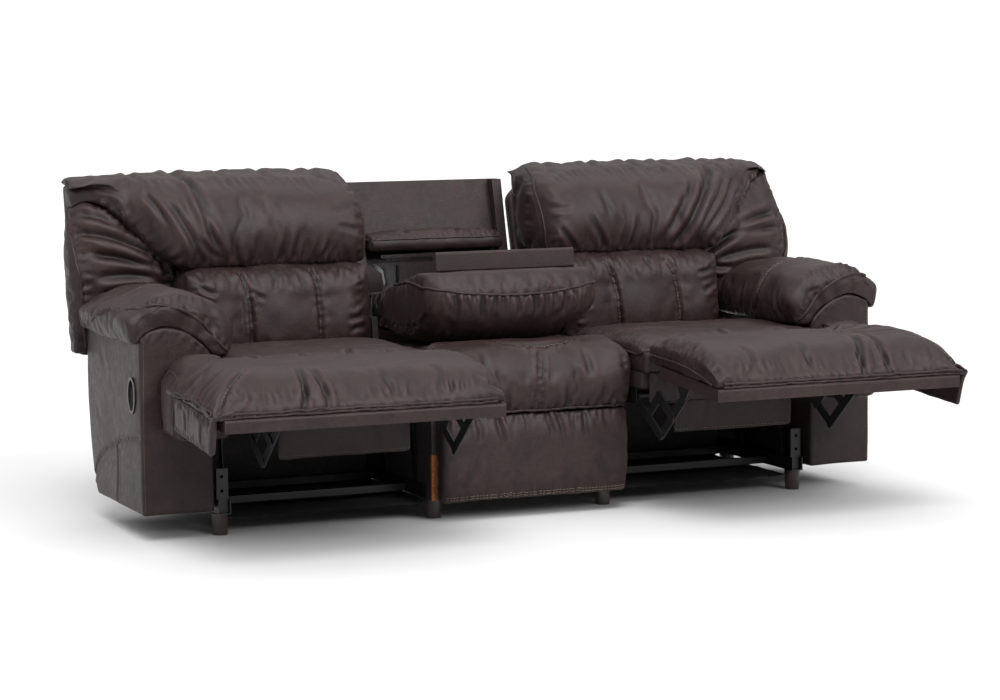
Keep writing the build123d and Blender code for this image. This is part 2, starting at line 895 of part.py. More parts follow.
inside_half = centre_half - plywood
with BuildPart() as centre_frame:
    for x in (-centre_half, inside_half):
        with BuildSketch(side_plane(x)):
            with BuildLine():
                Polyline(
                    (front_board, foot_height),
                    (shell_face(foot_height), foot_height),
                    (shell_face(upright_top), upright_top),
                    (deck_back + 10, upright_top),
                    (deck_back - 10, deck_top),
                    (front_board, deck_top),
                    close=True,
                )
            make_face()
        extrude(amount=plywood)
    inside = (-inside_half, inside_half)
    block(inside, (front_board, front_board + plywood), (foot_height, deck_top))
    block(inside, (front_board, deck_back), (deck_top - plywood, deck_top))
    leaning_slab(inside, foot_height, rear_board_top, plywood, 0)
write(centre_frame, "centre_frame")

centre_nose_low = 300
centre_nose = -68
centre_seat_half = centre_half - 9
nose_swell = 27
centre_corners = [
    (centre_nose, centre_nose_low),
    (front_board - soft_gap, centre_nose_low),
    (front_board - soft_gap, deck_top + soft_gap),
    (seat_back_edge - 6, deck_top + soft_gap),
    (seat_back_edge - 6, deck_top + 75),
    (centre_nose - 2, deck_top + 75),
]
centre_sections = (
    (-centre_seat_half, 10, 8, 12),
    (-centre_seat_half + 45, 0, 18, nose_swell - 4),
    (0, 0, 20, nose_swell),
    (centre_seat_half - 45, 0, 18, nose_swell - 4),
    (centre_seat_half, 10, 8, 12),
)
with BuildPart() as centre_seat_cushion:
    loft([
        padded_face(x, drawn_in(centre_corners, amount, (0, 4, 5)), (0, 0, 0, 1, crown, nose))
        for x, amount, crown, nose in centre_sections
    ], ruled=True)
write(centre_seat_cushion, "centre_seat_cushion")

panel_corners = [
    (centre_nose - 2, foot_height - 6),
    (front_board - soft_gap, foot_height - 6),
    (front_board - soft_gap, centre_nose_low - 1),
    (centre_nose - 2, centre_nose_low - 1),
]
panel_sections = (
    (-centre_seat_half + 5, 10, 5),
    (-centre_seat_half + 40, 0, 9),
    (centre_seat_half - 40, 0, 9),
    (centre_seat_half - 5, 10, 5),
)
with BuildPart() as centre_front_panel:
    loft([
        padded_face(x, drawn_in(panel_corners, amount, (0, 3)), (0, 0, 0, bow))
        for x, amount, bow in panel_sections
    ], ruled=True)
write(centre_front_panel, "centre_front_panel")

flap_pin = 4
flap_pin_height = 768
flap_pin_gap = 6.2
flap_hinge = (shell_face(flap_pin_height) - flap_pin_gap, flap_pin_height)
with BuildPart() as console_shell:
    leaning_slab((-shell_half, shell_half), shell_foot, shell_height, 0, board_thickness)
    for x_range in ((-shell_half, -recess_half), (recess_half, shell_half)):
        leaning_slab(x_range, flange_foot, shell_height, shell_recess, 0)
    with BuildSketch(side_plane(-recess_half - 6)):
        with Locations(flap_hinge):
            Circle(flap_pin + pin_clearance)
    extrude(amount=2 * recess_half + 12, mode=Mode.SUBTRACT)
write(console_shell, "console_shell")

flap_front = 650
flap_low = 717
flap_back = flap_hinge[0] - 8
flap_corners = [
    (flap_front, flap_low),
    (flap_back, flap_low),
    (flap_back, flap_pin_height - 8),
    (flap_front, flap_pin_height - 15),
]
flap_half = recess_half - 3
flap_sections = (
    (-flap_half, 8, 4),
    (-flap_half + 40, 0, 12),
    (flap_half - 40, 0, 12),
    (flap_half, 8, 4),
)
with BuildPart() as console_flap:
    loft([
        padded_face(x, drawn_in(flap_corners, amount, (3,)), (0, 0, crown, 4))
        for x, amount, crown in flap_sections
    ], ruled=True)
    block(
        (-flap_half + 4, flap_half - 4),
        (flap_back - 12, flap_hinge[0]),
        (flap_pin_height - 16, flap_pin_height - 11),
    )
    block(
        (-flap_half + 4, flap_half - 4),
        (flap_hinge[0] - 3, flap_hinge[0]),
        (flap_pin_height - 16, flap_pin_height),
    )
    rod(-recess_half - 5, recess_half + 5, flap_hinge, flap_pin)
write(console_flap, "console_flap")

# ---------------------------------------------------------------- folding back that makes the console
tray_back = (575, 712)
tray_tilt = 4.5
tray_length = 436
tray_half = recess_half - 4
tray_board = 10
tray_slot = 14
tray_rail = 26
tray_rail_depth = 58
box_half = tray_half - 1
cleat_inset = 13
box_front_depth = 60
box_back_depth = 112
box_heel = 90


def console_point(reach, drop):
    """Point of the folded back, by its reach from the tray's rear edge and its drop below the tray."""
    return along(along(tray_back, 180 - tray_tilt, reach), 270 - tray_tilt, drop)


def console_slab(x_range, outline, mode=Mode.ADD):
    """Board of the folded back between two widths, with corners given as reach and drop."""
    with BuildSketch(side_plane(x_range[0])) as profile:
        with BuildLine():
            Polyline(*[console_point(reach, drop) for reach, drop in outline], close=True)
        make_face()
    extrude(profile.sketch, amount=x_range[1] - x_range[0], mode=mode)


rail_back_reach = tray_length - tray_rail
with BuildPart() as console_tray:
    console_slab(
        (-tray_half, tray_half),
        [
            (0, 0),
            (tray_length, 0),
            (tray_length, tray_rail_depth),
            (rail_back_reach, tray_rail_depth),
            (rail_back_reach, tray_board),
            (0, tray_board),
        ],
    )
    fillet(console_tray.faces().sort_by(Axis.Y)[0].edges().filter_by(Axis.X), radius=7)
write(console_tray, "console_tray")

with BuildPart() as console_box:
    console_slab(
        (-box_half, box_half),
        [
            (0, tray_board + tray_slot),
            (rail_back_reach - soft_gap, tray_board + tray_slot),
            (rail_back_reach - soft_gap, box_front_depth),
            (box_heel, box_back_depth),
            (0, box_back_depth),
        ],
    )
    console_slab(
        (-box_half + cleat_inset, box_half - cleat_inset),
        [
            (8, tray_board),
            (rail_back_reach - 8, tray_board),
            (rail_back_reach - 8, tray_board + tray_slot),
            (8, tray_board + tray_slot),
        ],
    )
write(console_box, "console_box")

hinge_plate = 4
console_pin = 8
hinge_boss = 20
pivot_span = math.dist(console_pivot, tray_back)
pivot_heading = math.degrees(
    math.atan2(console_pivot[1] - tray_back[1], console_pivot[0] - tray_back[0])
)
pivot_turn = math.radians(pivot_heading - 180 + tray_tilt)
pivot_reach = pivot_span * math.cos(pivot_turn)
pivot_drop = pivot_span * math.sin(pivot_turn)
arm_outline = [
    (pivot_reach - 48, tray_board + tray_slot + 8),
    (pivot_reach + 30, tray_board + tray_slot + 8),
    (pivot_reach + hinge_boss - 3, pivot_drop),
    (pivot_reach - hinge_boss + 3, pivot_drop),
]
slot_outline = [
    (pivot_reach - 52, 0),
    (pivot_reach + 34, 0),
    (pivot_reach + 34, pivot_drop + hinge_boss + 4),
    (pivot_reach - 52, pivot_drop + hinge_boss + 4),
]
slots = (
    (-box_half - hinge_plate - soft_gap, -box_half + soft_gap),
    (box_half - soft_gap, box_half + hinge_plate + soft_gap),
)
pillow_half = centre_half - 36
pillow_rear = 15
pillow_front = 492
pillow_bow = 32
pillow_drop = 226
pillow_outline = [
    (pillow_rear, box_back_depth + soft_gap),
    (box_heel, box_back_depth + soft_gap),
    (rail_back_reach, box_front_depth + soft_gap),
    (pillow_front, box_front_depth + 2),
    (pillow_front + 12, pillow_drop - 62),
    (pillow_front - 70, pillow_drop),
    (pillow_rear, pillow_drop),
]
pillow_sections = (
    (-pillow_half, -12, -12, 2),
    (-pillow_half + 44, pillow_bow * 0.5, 0, 9),
    (0, pillow_bow, 0, 11),
    (pillow_half - 44, pillow_bow * 0.5, 0, 9),
    (pillow_half, -12, -12, 2),
)


def pillow_corners_at(bow, lower):
    """Corners of the folded pillow, with its front bowed out and its underside let down."""
    corners = []
    for number, (reach, drop) in enumerate(pillow_outline):
        forward = bow if number in (3, 4, 5) else 0
        sink = lower if number in (4, 5, 6) else 0
        corners.append(console_point(reach + forward, drop + sink))
    return corners


with BuildPart() as console_pillow:
    loft([
        padded_face(x, pillow_corners_at(bow, lower), (0, 0, 1, 8, 10, belly, 3))
        for x, bow, lower, belly in pillow_sections
    ], ruled=True)
    for x_range in slots:
        console_slab(x_range, slot_outline, Mode.SUBTRACT)
    for x in (-pillow_half - 1, box_half + hinge_plate):
        with BuildSketch(side_plane(x)):
            with Locations(console_pivot):
                Circle(console_pin + soft_gap)
        extrude(amount=pillow_half - box_half - hinge_plate + 1, mode=Mode.SUBTRACT)
write(console_pillow, "console_pillow")

with BuildPart() as console_hinge_arms:
    for x in (-box_half - hinge_plate, box_half):
        with BuildSketch(side_plane(x)):
            with BuildLine():
                Polyline(*[console_point(reach, drop) for reach, drop in arm_outline], close=True)
            make_face()
            with Locations(console_pivot):
                Circle(hinge_boss)
        extrude(amount=hinge_plate)
    rod(-inside_half + pin_inset, -box_half - hinge_plate, console_pivot, console_pin)
    rod(box_half + hinge_plate, inside_half - pin_inset, console_pivot, console_pin)
write(console_hinge_arms, "console_hinge_arms")

lever_steel = 3
lever_width = 14
lever_low = console_point(24, 84)
lever_bend = console_point(10, 50)
lever_tip = (640, 680)
with BuildPart() as console_levers:
    for x in (-box_half - lever_steel, box_half):
        bar(x, lever_steel, lever_low, lever_bend, lever_width, [])
        bar(x, lever_steel, lever_bend, lever_tip, lever_width, [])
write(console_levers, "console_levers")

bracket_steel = 4
bracket_foot = (console_pivot[0] + 4, deck_top + 50)
with BuildPart() as console_brackets:
    for x in (-inside_half, inside_half - bracket_steel):
        bar(
            x,
            bracket_steel,
            bracket_foot,
            console_pivot,
            2 * hinge_boss + 4,
            [console_pivot],
            console_pin + pin_clearance,
        )
write(console_brackets, "console_brackets")
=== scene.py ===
# %% [markdown]
# # Three-seat reclining sofa with a fold-down console, in Blender
# The steel, the boards and the feet come from the CAD model and stay as they are. What CAD can't
# give is the upholstery: soft, gathered, stitched covers in a dark brown microfibre that looks like
# brushed leather. This file builds those covers over the fixed frame, one step per cell.

# %% The fixed frame
import math
import random

import bpy
import numpy as np
from mathutils import Matrix, Vector
from mathutils.bvhtree import BVHTree


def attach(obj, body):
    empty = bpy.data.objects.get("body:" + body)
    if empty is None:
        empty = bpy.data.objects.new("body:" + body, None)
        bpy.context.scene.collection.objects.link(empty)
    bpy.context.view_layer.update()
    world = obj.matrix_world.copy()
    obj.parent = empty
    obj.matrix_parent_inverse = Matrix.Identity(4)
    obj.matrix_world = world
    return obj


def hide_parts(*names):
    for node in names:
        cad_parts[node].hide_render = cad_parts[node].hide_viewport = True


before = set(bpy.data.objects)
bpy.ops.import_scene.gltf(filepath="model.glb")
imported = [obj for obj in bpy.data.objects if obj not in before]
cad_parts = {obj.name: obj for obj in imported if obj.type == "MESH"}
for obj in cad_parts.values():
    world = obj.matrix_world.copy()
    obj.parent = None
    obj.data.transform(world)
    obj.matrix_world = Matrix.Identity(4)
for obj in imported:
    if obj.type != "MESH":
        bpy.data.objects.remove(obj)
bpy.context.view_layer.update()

# %% [markdown]
# ## Measuring in millimetres
# An upholsterer measures from the front of the arms, in millimetres, so every size below is written
# that way: x from the sofa's middle outwards, y backwards from the arm fronts, z up from the floor.
# One function turns that into the frame's metres. Left-hand pieces are worked as if they were
# right-hand ones, and their x is turned round at the very end, so one set of sizes serves both.

# %% Millimetres to metres
arm_front = 108.25
back_lean = math.tan(math.radians(14.3))


def to_frame(points, hand=1):
    """Sofa millimetres to the frame's metres."""
    p = np.array(points, float).reshape(-1, 3)
    p[:, 1] -= arm_front
    p[:, 0] *= hand
    return p * 0.001


def from_frame(points, hand=1):
    """The frame's metres to sofa millimetres."""
    p = np.array(points, float).reshape(-1, 3) * 1000
    p[:, 1] += arm_front
    p[:, 0] *= hand
    return p


def back_board(height):
    """Depth of the front of the leaning back board at a height."""
    return 600 + (height - 460) * back_lean


print("back board leans from", round(back_board(440)), "to", round(back_board(935)))

# %% [markdown]
# ## A grid that follows a cut pattern
# A sewn cushion is panels joined at seams: a front, a top, a back, an underside and two ends. If the
# mesh is a grid with the same panels, every seam is a row of vertices that can be pinned, piped and
# stitched later. So each cushion is a row of cross-sections, each with four sides, and two end
# panels that fill the first and the last section. A sphere or a cube with a modifier would be
# quicker, but has no seams to sew along.

# %% Lines and cross-sections
def line_through(points, count, bent=True):
    """Evenly spaced points on a line through the given ones, smooth unless it is a folded one."""
    p = np.array(points, float)
    if bent and len(p) > 2:
        t = np.r_[0, np.cumsum(np.linalg.norm(np.diff(p, axis=0), axis=1))]
        slope = np.gradient(p, t, axis=0)
        u = np.linspace(0, 1, 10, endpoint=False)[:, None]
        spans = []
        for k in range(len(p) - 1):
            step = t[k + 1] - t[k]
            spans.append(
                (2 * u**3 - 3 * u**2 + 1) * p[k]
                + (u**3 - 2 * u**2 + u) * step * slope[k]
                + (3 * u**2 - 2 * u**3) * p[k + 1]
                + (u**3 - u**2) * step * slope[k + 1]
            )
        p = np.vstack([*spans, p[-1:]])
    run = np.r_[0, np.cumsum(np.linalg.norm(np.diff(p, axis=0), axis=1))]
    at = np.linspace(0, run[-1], count)
    return np.column_stack([np.interp(at, run, p[:, k]) for k in range(p.shape[1])])


def section(low_front, top_front, top_rear, low_rear, face=(), over=(), rear=(), under=()):
    """One cross-section: its four corners, and the points that each of its sides passes through."""
    return (
        ([low_front, *face, top_front], True),
        ([top_front, *over, top_rear], True),
        ([top_rear, *rear, low_rear], False),
        ([low_rear, *under, low_front], False),
    )


def between_sections(places, rings, at):
    """Rings at new places, eased from one given ring to the next without overshoot."""
    gap = np.diff(places)[:, None, None]
    slope = np.diff(rings, axis=0) / gap
    tangent = np.zeros_like(rings)
    tangent[0], tangent[-1] = slope[0], slope[-1]
    both = slope[:-1] * slope[1:]
    total = np.where(np.abs(slope[:-1] + slope[1:]) < 1e-9, 1, slope[:-1] + slope[1:])
    tangent[1:-1] = np.where(both > 0, 2 * both / total, 0)
    k = np.clip(np.searchsorted(places, at, side="right") - 1, 0, len(places) - 2)
    u = ((at - places[k]) / (places[k + 1] - places[k]))[:, None, None]
    step = gap[k]
    return (
        (2 * u**3 - 3 * u**2 + 1) * rings[k]
        + (u**3 - 2 * u**2 + u) * step * tangent[k]
        + (3 * u**2 - 2 * u**3) * rings[k + 1]
        + (u**3 - u**2) * step * tangent[k + 1]
    )


# %% The cushion maker
cages = {}


def cushion(name, hand, sections, pitch=11, ends=(0, 0), axis="x", relax=2, warp=None):
    """A closed cushion mesh from cross-sections [(place, section), ...] along x or y."""
    places = np.array([s[0] for s in sections], float)
    reach = [
        np.mean([np.linalg.norm(np.diff(np.array(s[1][side][0], float), axis=0), axis=1).sum()
                 for s in sections])
        for side in (0, 1)
    ]
    nx = max(6, round(abs(places[-1] - places[0]) / pitch))
    nz, ny = max(4, round(reach[0] / pitch)), max(4, round(reach[1] / pitch))
    counts = (nz + 1, ny + 1, nz + 1, ny + 1)
    rings = np.array([
        np.vstack([line_through(side, count, bent)[:-1]
                   for (side, bent), count in zip(sides, counts)])
        for _, sides in sections
    ])
    at = np.linspace(places[0], places[-1], nx + 1)
    full = between_sections(places, rings, at)
    index = -np.ones((nx + 1, ny + 1, nz + 1), int)
    ring_jk = (
        [(0, k) for k in range(nz)] + [(j, nz) for j in range(ny)]
        + [(ny, k) for k in range(nz, 0, -1)] + [(j, 0) for j in range(ny, 0, -1)]
    )
    points = []
    for i in range(nx + 1):
        for number, (j, k) in enumerate(ring_jk):
            index[i, j, k] = len(points)
            points.append((at[i], *full[i, number]))
    for i, bulge in ((0, -ends[0]), (nx, ends[1])):
        edge = {jk: full[i, number] for number, jk in enumerate(ring_jk)}
        for j in range(1, ny):
            for k in range(1, nz):
                u, v = j / ny, k / nz
                spot = (
                    (1 - u) * edge[0, k] + u * edge[ny, k] + (1 - v) * edge[j, 0] + v * edge[j, nz]
                    - (1 - u) * (1 - v) * edge[0, 0] - u * (1 - v) * edge[ny, 0]
                    - (1 - u) * v * edge[0, nz] - u * v * edge[ny, nz]
                )
                index[i, j, k] = len(points)
                points.append((at[i] + bulge * (16 * u * (1 - u) * v * (1 - v)) ** 0.5, *spot))
    faces = []
    ring_n = len(ring_jk)
    for i in range(nx):
        for m in range(ring_n):
            n = (m + 1) % ring_n
            a, b = ring_jk[m], ring_jk[n]
            faces.append((index[i][a], index[i + 1][a], index[i + 1][b], index[i][b]))
    for i, turn in ((0, 1), (nx, -1)):
        for j in range(ny):
            for k in range(nz):
                quad = (index[i, j, k], index[i, j, k + 1], index[i, j + 1, k + 1],
                    index[i, j + 1, k])
                faces.append(quad[::turn])
    p = np.array(points)
    if axis == "y":
        p = p[:, [1, 0, 2]]
        faces = [f[::-1] for f in faces]
    if warp is not None:
        p = warp(p)
    faces = [[int(v) for v in f] for f in faces]
    if hand < 0:
        faces = [f[::-1] for f in faces]
    mesh = bpy.data.meshes.new(name)
    mesh.from_pydata(to_frame(p, hand).tolist(), [], faces)
    mesh.update()
    piece = bpy.data.objects.new(name, mesh)
    bpy.context.scene.collection.objects.link(piece)
    piece["hand"] = hand
    cages[name] = index
    ease(piece, relax)
    return piece


# %% Reading and moving the vertices of a piece
def spots(piece):
    """All vertices of a piece in sofa millimetres, right-handed."""
    flat = np.empty(len(piece.data.vertices) * 3, np.float32)
    piece.data.vertices.foreach_get("co", flat)
    return from_frame(flat, piece["hand"])


def move_spots(piece, points):
    """Puts the vertices of a piece at new places."""
    piece.data.vertices.foreach_set("co", to_frame(points,
        piece["hand"]).astype(np.float32).ravel())
    piece.data.update()


def outward(piece):
    """Vertex normals, right-handed."""
    flat = np.empty(len(piece.data.vertices) * 3, np.float32)
    piece.data.vertex_normals.foreach_get("vector", flat)
    n = flat.reshape(-1, 3).astype(float)
    n[:, 0] *= piece["hand"]
    return n


def ease(piece, rounds):
    """Evens a mesh out a little, as stuffing rounds a corner, without shrinking it much."""
    soften, restore = 0.5, -0.45
    edges = np.empty(len(piece.data.edges) * 2, np.int32)
    piece.data.edges.foreach_get("vertices", edges)
    a, b = edges[0::2], edges[1::2]
    p = spots(piece)
    near = np.bincount(a, minlength=len(p)) + np.bincount(b, minlength=len(p))
    for _ in range(rounds):
        for push in (soften, restore):
            total = np.zeros_like(p)
            np.add.at(total, a, p[b])
            np.add.at(total, b, p[a])
            p += (total / near[:, None] - p) * push
    move_spots(piece, p)


def row(piece, i=None, j=None, k=None):
    """Vertex numbers of one row of the cutting grid: two of i, j, k are given, the third runs."""
    cage = cages[piece.name]
    return cage[
        slice(None) if i is None else i,
        slice(None) if j is None else j,
        slice(None) if k is None else k,
    ]


def end_row(piece, i):
    """Vertex numbers round one cross-section, closed."""
    cage = cages[piece.name][i]
    return np.r_[cage[0, :], cage[1:, -1], cage[-1, -2::-1], cage[-2::-1, 0]]


def seam_rows(piece, *corners):
    """Both end rings of a cover and its named corner rows, which the sewing holds still."""
    at = {"low_front": (0, 0), "top_front": (0, -1), "top_rear": (-1, -1), "low_rear": (-1, 0)}
    rows = [row(piece, j=at[corner][0], k=at[corner][1]) for corner in corners]
    return [*rows, end_row(piece, 0), end_row(piece, -1)]


# %% [markdown]
# ## Filling the covers
# Real covers are cut larger than the foam, sewn, and stuffed until they are tight, which is what
# gives the crowns and the small gathers beside each seam. Blender's cloth with an inner pressure
# does the same: the seams are pinned, the cloth is cut a few percent too large, and twenty frames
# without gravity swell it. All covers are filled in one run, and nobody may move further than a cap,
# so that each keeps to the room that the CAD model gives it.

# %% The filling
to_fill = []


def fill_later(piece, seams, pressure=4.0, extra=0.03, cap=16):
    """Notes a cover for the filling run, with the rows that its seams pin."""
    pins = piece.vertex_groups.new(name="seams")
    pins.add([int(v) for v in np.unique(np.concatenate(seams)) if v >= 0], 1.0, "REPLACE")
    to_fill.append((piece, pressure, extra, cap))


def fill_covers():
    """Swells every noted cover with cloth pressure and makes the result its mesh."""
    scene = bpy.context.scene
    scene.frame_start, scene.frame_end = 1, 20
    for piece, pressure, extra, _ in to_fill:
        cloth = piece.modifiers.new("filling", "CLOTH")
        s = cloth.settings
        s.quality = 3
        s.mass = 0.35
        s.tension_stiffness = s.compression_stiffness = 12
        s.shear_stiffness = 4
        s.bending_stiffness = 0.6
        s.air_damping = 2
        s.use_pressure = True
        s.uniform_pressure_force = pressure
        s.shrink_min = -extra
        s.vertex_group_mass = "seams"
        s.effector_weights.gravity = 0
        cloth.collision_settings.use_collision = False
        cloth.point_cache.frame_start, cloth.point_cache.frame_end = 1, 20
    for number in range(1, 21):
        scene.frame_set(number)
    graph = bpy.context.evaluated_depsgraph_get()
    for piece, _, _, cap in to_fill:
        before = spots(piece)
        swollen = piece.evaluated_get(graph)
        flat = np.empty(len(piece.data.vertices) * 3, np.float32)
        swollen.data.vertices.foreach_get("co", flat)
        after = from_frame(flat, piece["hand"])
        shift = np.nan_to_num(after - before)
        far = np.linalg.norm(shift, axis=1)
        shift *= np.minimum(1, cap / np.maximum(far, 1e-6))[:, None]
        piece.modifiers.remove(piece.modifiers["filling"])
        move_spots(piece, before + shift)
        print("filled", piece.name, "moved up to", round(float(far.max())), "mm")
    scene.frame_set(1)


# %% [markdown]
# ## Finishes
# Each finish starts from what the real surface is. Colours are written as the sRGB values that an
# eye or a colour picker reads, and one function turns them to the linear light that Blender counts
# in. One small function adds a node with its settings and links, so a material reads as a list.

# %% Colours and nodes
def colour(hex_code):
    """An sRGB hex colour as linear light."""
    parts = [int(hex_code.lstrip("#")[k:k + 2], 16) / 255 for k in (0, 2, 4)]
    linear = [c / 12.92 if c <= 0.04045 else ((c + 0.055) / 1.055) ** 2.4 for c in parts]
    return (*linear, 1.0)


def add(tree, kind, settings=None, links=None):
    """Adds a node: settings by attribute or socket name, links as {socket: (node, output)}."""
    node = tree.nodes.new(kind)
    for key, value in (settings or {}).items():
        if key == "stops":
            ramp = node.color_ramp
            while len(ramp.elements) < len(value):
                ramp.elements.new(0.5)
            for stop, (place, shade) in zip(ramp.elements, value):
                stop.position, stop.color = place, shade
        elif isinstance(key, int) or key in node.inputs:
            node.inputs[key].default_value = value
        else:
            setattr(node, key, value)
    for key, (source, output) in (links or {}).items():
        tree.links.new(source.outputs[output], node.inputs[key])
    return node


def finish_named(name):
    """An empty node material with its output and its shader."""
    material = bpy.data.materials.new(name)
    material.use_nodes = True
    tree = material.node_tree
    tree.nodes.clear()
    output = add(tree, "ShaderNodeOutputMaterial")
    shader = add(tree, "ShaderNodeBsdfPrincipled")
    tree.links.new(shader.outputs["BSDF"], output.inputs["Surface"])
    return material, tree, shader


# %% [markdown]
# The cover is a knitted microfibre with a brushed, printed face, sold as leather-look suede. It is
# matt, with a faint grain, and its nap lies this way and that, so it clouds lighter and darker in
# patches as broad as a hand. On the ridge of each fold the colour is a painted highlight, paler, and
# in each crease it is painted shade, darker. Both come from a value that the sewing steps below store
# on each vertex.

# %% Brushed microfibre
def brushed_microfibre(name, dark, mid, pale, ridge_highlight_tone, rough=(0.42, 0.56)):
    """Leather-look microfibre from its dark, usual and pale nap tones, and the painted highlight tone
    of fold ridges.
    """
    material, tree, shader = finish_named(name)
    place = add(tree, "ShaderNodeTexCoord")
    # nap patches about 90 mm and 22 mm across
    patch = add(tree, "ShaderNodeTexNoise", {"Scale": 11.0, "Detail": 4.0, "Roughness": 0.62,
                                             "Distortion": 0.6}, {"Vector": (place, "Object")})
    cloud = add(tree, "ShaderNodeTexNoise", {"Scale": 46.0, "Detail": 5.0, "Roughness": 0.7,
                                             "Distortion": 0.9}, {"Vector": (place, "Object")})
    both = add(tree, "ShaderNodeMath", {"operation": "MULTIPLY_ADD", 1: 0.55, 2: 0.0},
               {0: (cloud, "Fac")})
    tone = add(tree, "ShaderNodeMath", {"operation": "MULTIPLY_ADD", 1: 0.45},
               {0: (patch, "Fac"), 2: (both, "Value")})
    nap = add(tree, "ShaderNodeValToRGB",
              {"stops": [(0.36, colour(dark)), (0.5, colour(mid)), (0.64, colour(pale))]},
              {"Fac": (tone, "Value")})
    # the stored fold depth paints a highlight on fold ridges and paints shade into creases and seam
    # grooves
    fold = add(tree, "ShaderNodeAttribute", {"attribute_name": "fold"})
    ridge_highlight_share = add(tree, "ShaderNodeMapRange", {"From Min": 0.5, "From Max": 4.5, "To Max": 0.28},
                 {"Value": (fold, "Fac")})
    nap_and_ridge_highlight = add(tree, "ShaderNodeMix", {"data_type": "RGBA", 7: colour(ridge_highlight_tone)},
               {0: (ridge_highlight_share, "Result"), 6: (nap, "Color")})
    crease_shade = add(tree, "ShaderNodeMapRange", {"From Min": -5.0, "From Max": -0.5, "To Min": 0.55,
                                            "To Max": 1.0}, {"Value": (fold, "Fac")})
    shade = add(tree, "ShaderNodeMix", {"data_type": "RGBA", "blend_type": "MULTIPLY", 0: 1.0},
                {6: (nap_and_ridge_highlight, 2), 7: (crease_shade, "Result")})
    tree.links.new(shade.outputs[2], shader.inputs["Base Color"])
    # the printed grain is about 1 mm, drawn here at 2 to 3 mm so that it shows from across a room
    grain = add(tree, "ShaderNodeTexVoronoi", {"feature": "F1", "Scale": 380.0, "Randomness": 1.0},
                {"Vector": (place, "Object")})
    pores = add(tree, "ShaderNodeTexNoise", {"Scale": 620.0, "Detail": 3.0, "Roughness": 0.6},
                {"Vector": (place, "Object")})
    # creases of worn hide-like cloth, 10 to 25 mm apart
    pucker = add(tree, "ShaderNodeTexNoise", {"Scale": 62.0, "Detail": 4.0, "Roughness": 0.55,
                                              "Distortion": 1.4}, {"Vector": (place, "Object")})
    grain_bump = add(tree, "ShaderNodeBump", {"Strength": 0.5, "Distance": 0.0007},
                {"Height": (grain, "Distance")})
    pore_bump = add(tree, "ShaderNodeBump", {"Strength": 0.3, "Distance": 0.0005},
                 {"Height": (pores, "Fac"), "Normal": (grain_bump, "Normal")})
    crease_bump = add(tree, "ShaderNodeBump", {"Strength": 0.22, "Distance": 0.0018},
                 {"Height": (pucker, "Fac"), "Normal": (pore_bump, "Normal")})
    tree.links.new(crease_bump.outputs["Normal"], shader.inputs["Normal"])
    gloss = add(tree, "ShaderNodeMapRange", {"From Min": 0.35, "From Max": 0.65, "To Min": rough[0],
                                             "To Max": rough[1]}, {"Value": (cloud, "Fac")})
    tree.links.new(gloss.outputs["Result"], shader.inputs["Roughness"])
    shader.inputs["IOR"].default_value = 1.46
    shader.inputs["Specular IOR Level"].default_value = 0.3
    shader.inputs["Sheen Weight"].default_value = 0.04
    shader.inputs["Sheen Roughness"].default_value = 0.45
    shader.inputs["Sheen Tint"].default_value = colour("#b9a6a2")
    return material


# the last tone is the painted highlight on fold ridges
cover = brushed_microfibre("brushed_microfibre", "#1e1515", "#271b1b", "#312222", "#3f2e2c")
print("cover material has", len(cover.node_tree.nodes), "nodes")


# %% [markdown]
# ## Folds, gathers and seams
# A fold has a dipped line and a raised lip beside it. Each is drawn as the upholsterer would chalk it,
# as a line seen from the front, the top or a side, with a width and a depth in millimetres. Gathers
# are many short folds that start at a seam and die out. Sculpting by hand would be freer, but a
# chalked line can be checked against the photograph and moved. The depths are also kept as the value
# that paints a highlight onto the ridges and paints shade into the creases.

# %% Chalk lines
views = {
    "front": (0, 2, (0, -1, 0)),
    "rear": (0, 2, (0, 1, 0)),
    "top": (0, 1, (0, 0, 1)),
    "outer": (1, 2, (1, 0, 0)),
    "inner": (1, 2, (-1, 0, 0)),
}


def step_up(low, high, value):
    """0 below low, 1 above high, eased between."""
    t = np.clip((value - low) / (high - low), 0, 1)
    return t * t * (3 - 2 * t)


def beside(flat, line):
    """Signed distance of flat points from a line, and how far along it they lie, from 0 to 1."""
    a, b = line[:-1], line[1:]
    ab = b - a
    run = np.r_[0, np.cumsum(np.linalg.norm(ab, axis=1))]
    rel = flat[:, None, :] - a[None]
    t = np.clip((rel * ab).sum(2) / np.maximum((ab * ab).sum(1), 1e-9), 0, 1)
    off = rel - t[..., None] * ab
    d = np.sqrt((off * off).sum(2))
    k = d.argmin(1)
    pick = np.arange(len(flat))
    side = np.sign(ab[k, 0] * rel[pick, k, 1] - ab[k, 1] * rel[pick, k, 0])
    return d[pick, k] * side, (run[k] + t[pick, k] * (run[k + 1] - run[k])) / run[-1]


def fold_line(p, n, height, view, line, width=9, depth=5, lip=0.5, lap=0.0, fade=(0.2, 0.35)):
    """Adds one fold to the height of each vertex."""
    a, b, facing = views[view]
    line = line_through(line, max(3, 3 * len(line)))
    low, high = line.min(0) - 4 * width, line.max(0) + 4 * width
    near = (
        (p[:, a] > low[0]) & (p[:, a] < high[0]) & (p[:, b] > low[1]) & (p[:, b] < high[1])
        & (n @ np.array(facing, float) > 0.1)
    )
    if not near.any():
        return
    q, m = p[near], n[near]
    d, at = beside(q[:, [a, b]], line)
    turn = step_up(0.1, 0.45, m @ np.array(facing, float))
    die = step_up(-0.001, fade[0] + 1e-3, at) * step_up(-0.001, fade[1] + 1e-3, 1 - at)
    valley = np.exp(-((d / width) ** 2))
    ridge = np.exp(-(((np.abs(d) - 1.8 * width) / (1.1 * width)) ** 2)) * (1 + lap * np.sign(d))
    height[near] += depth * (lip * ridge - valley) * die * turn


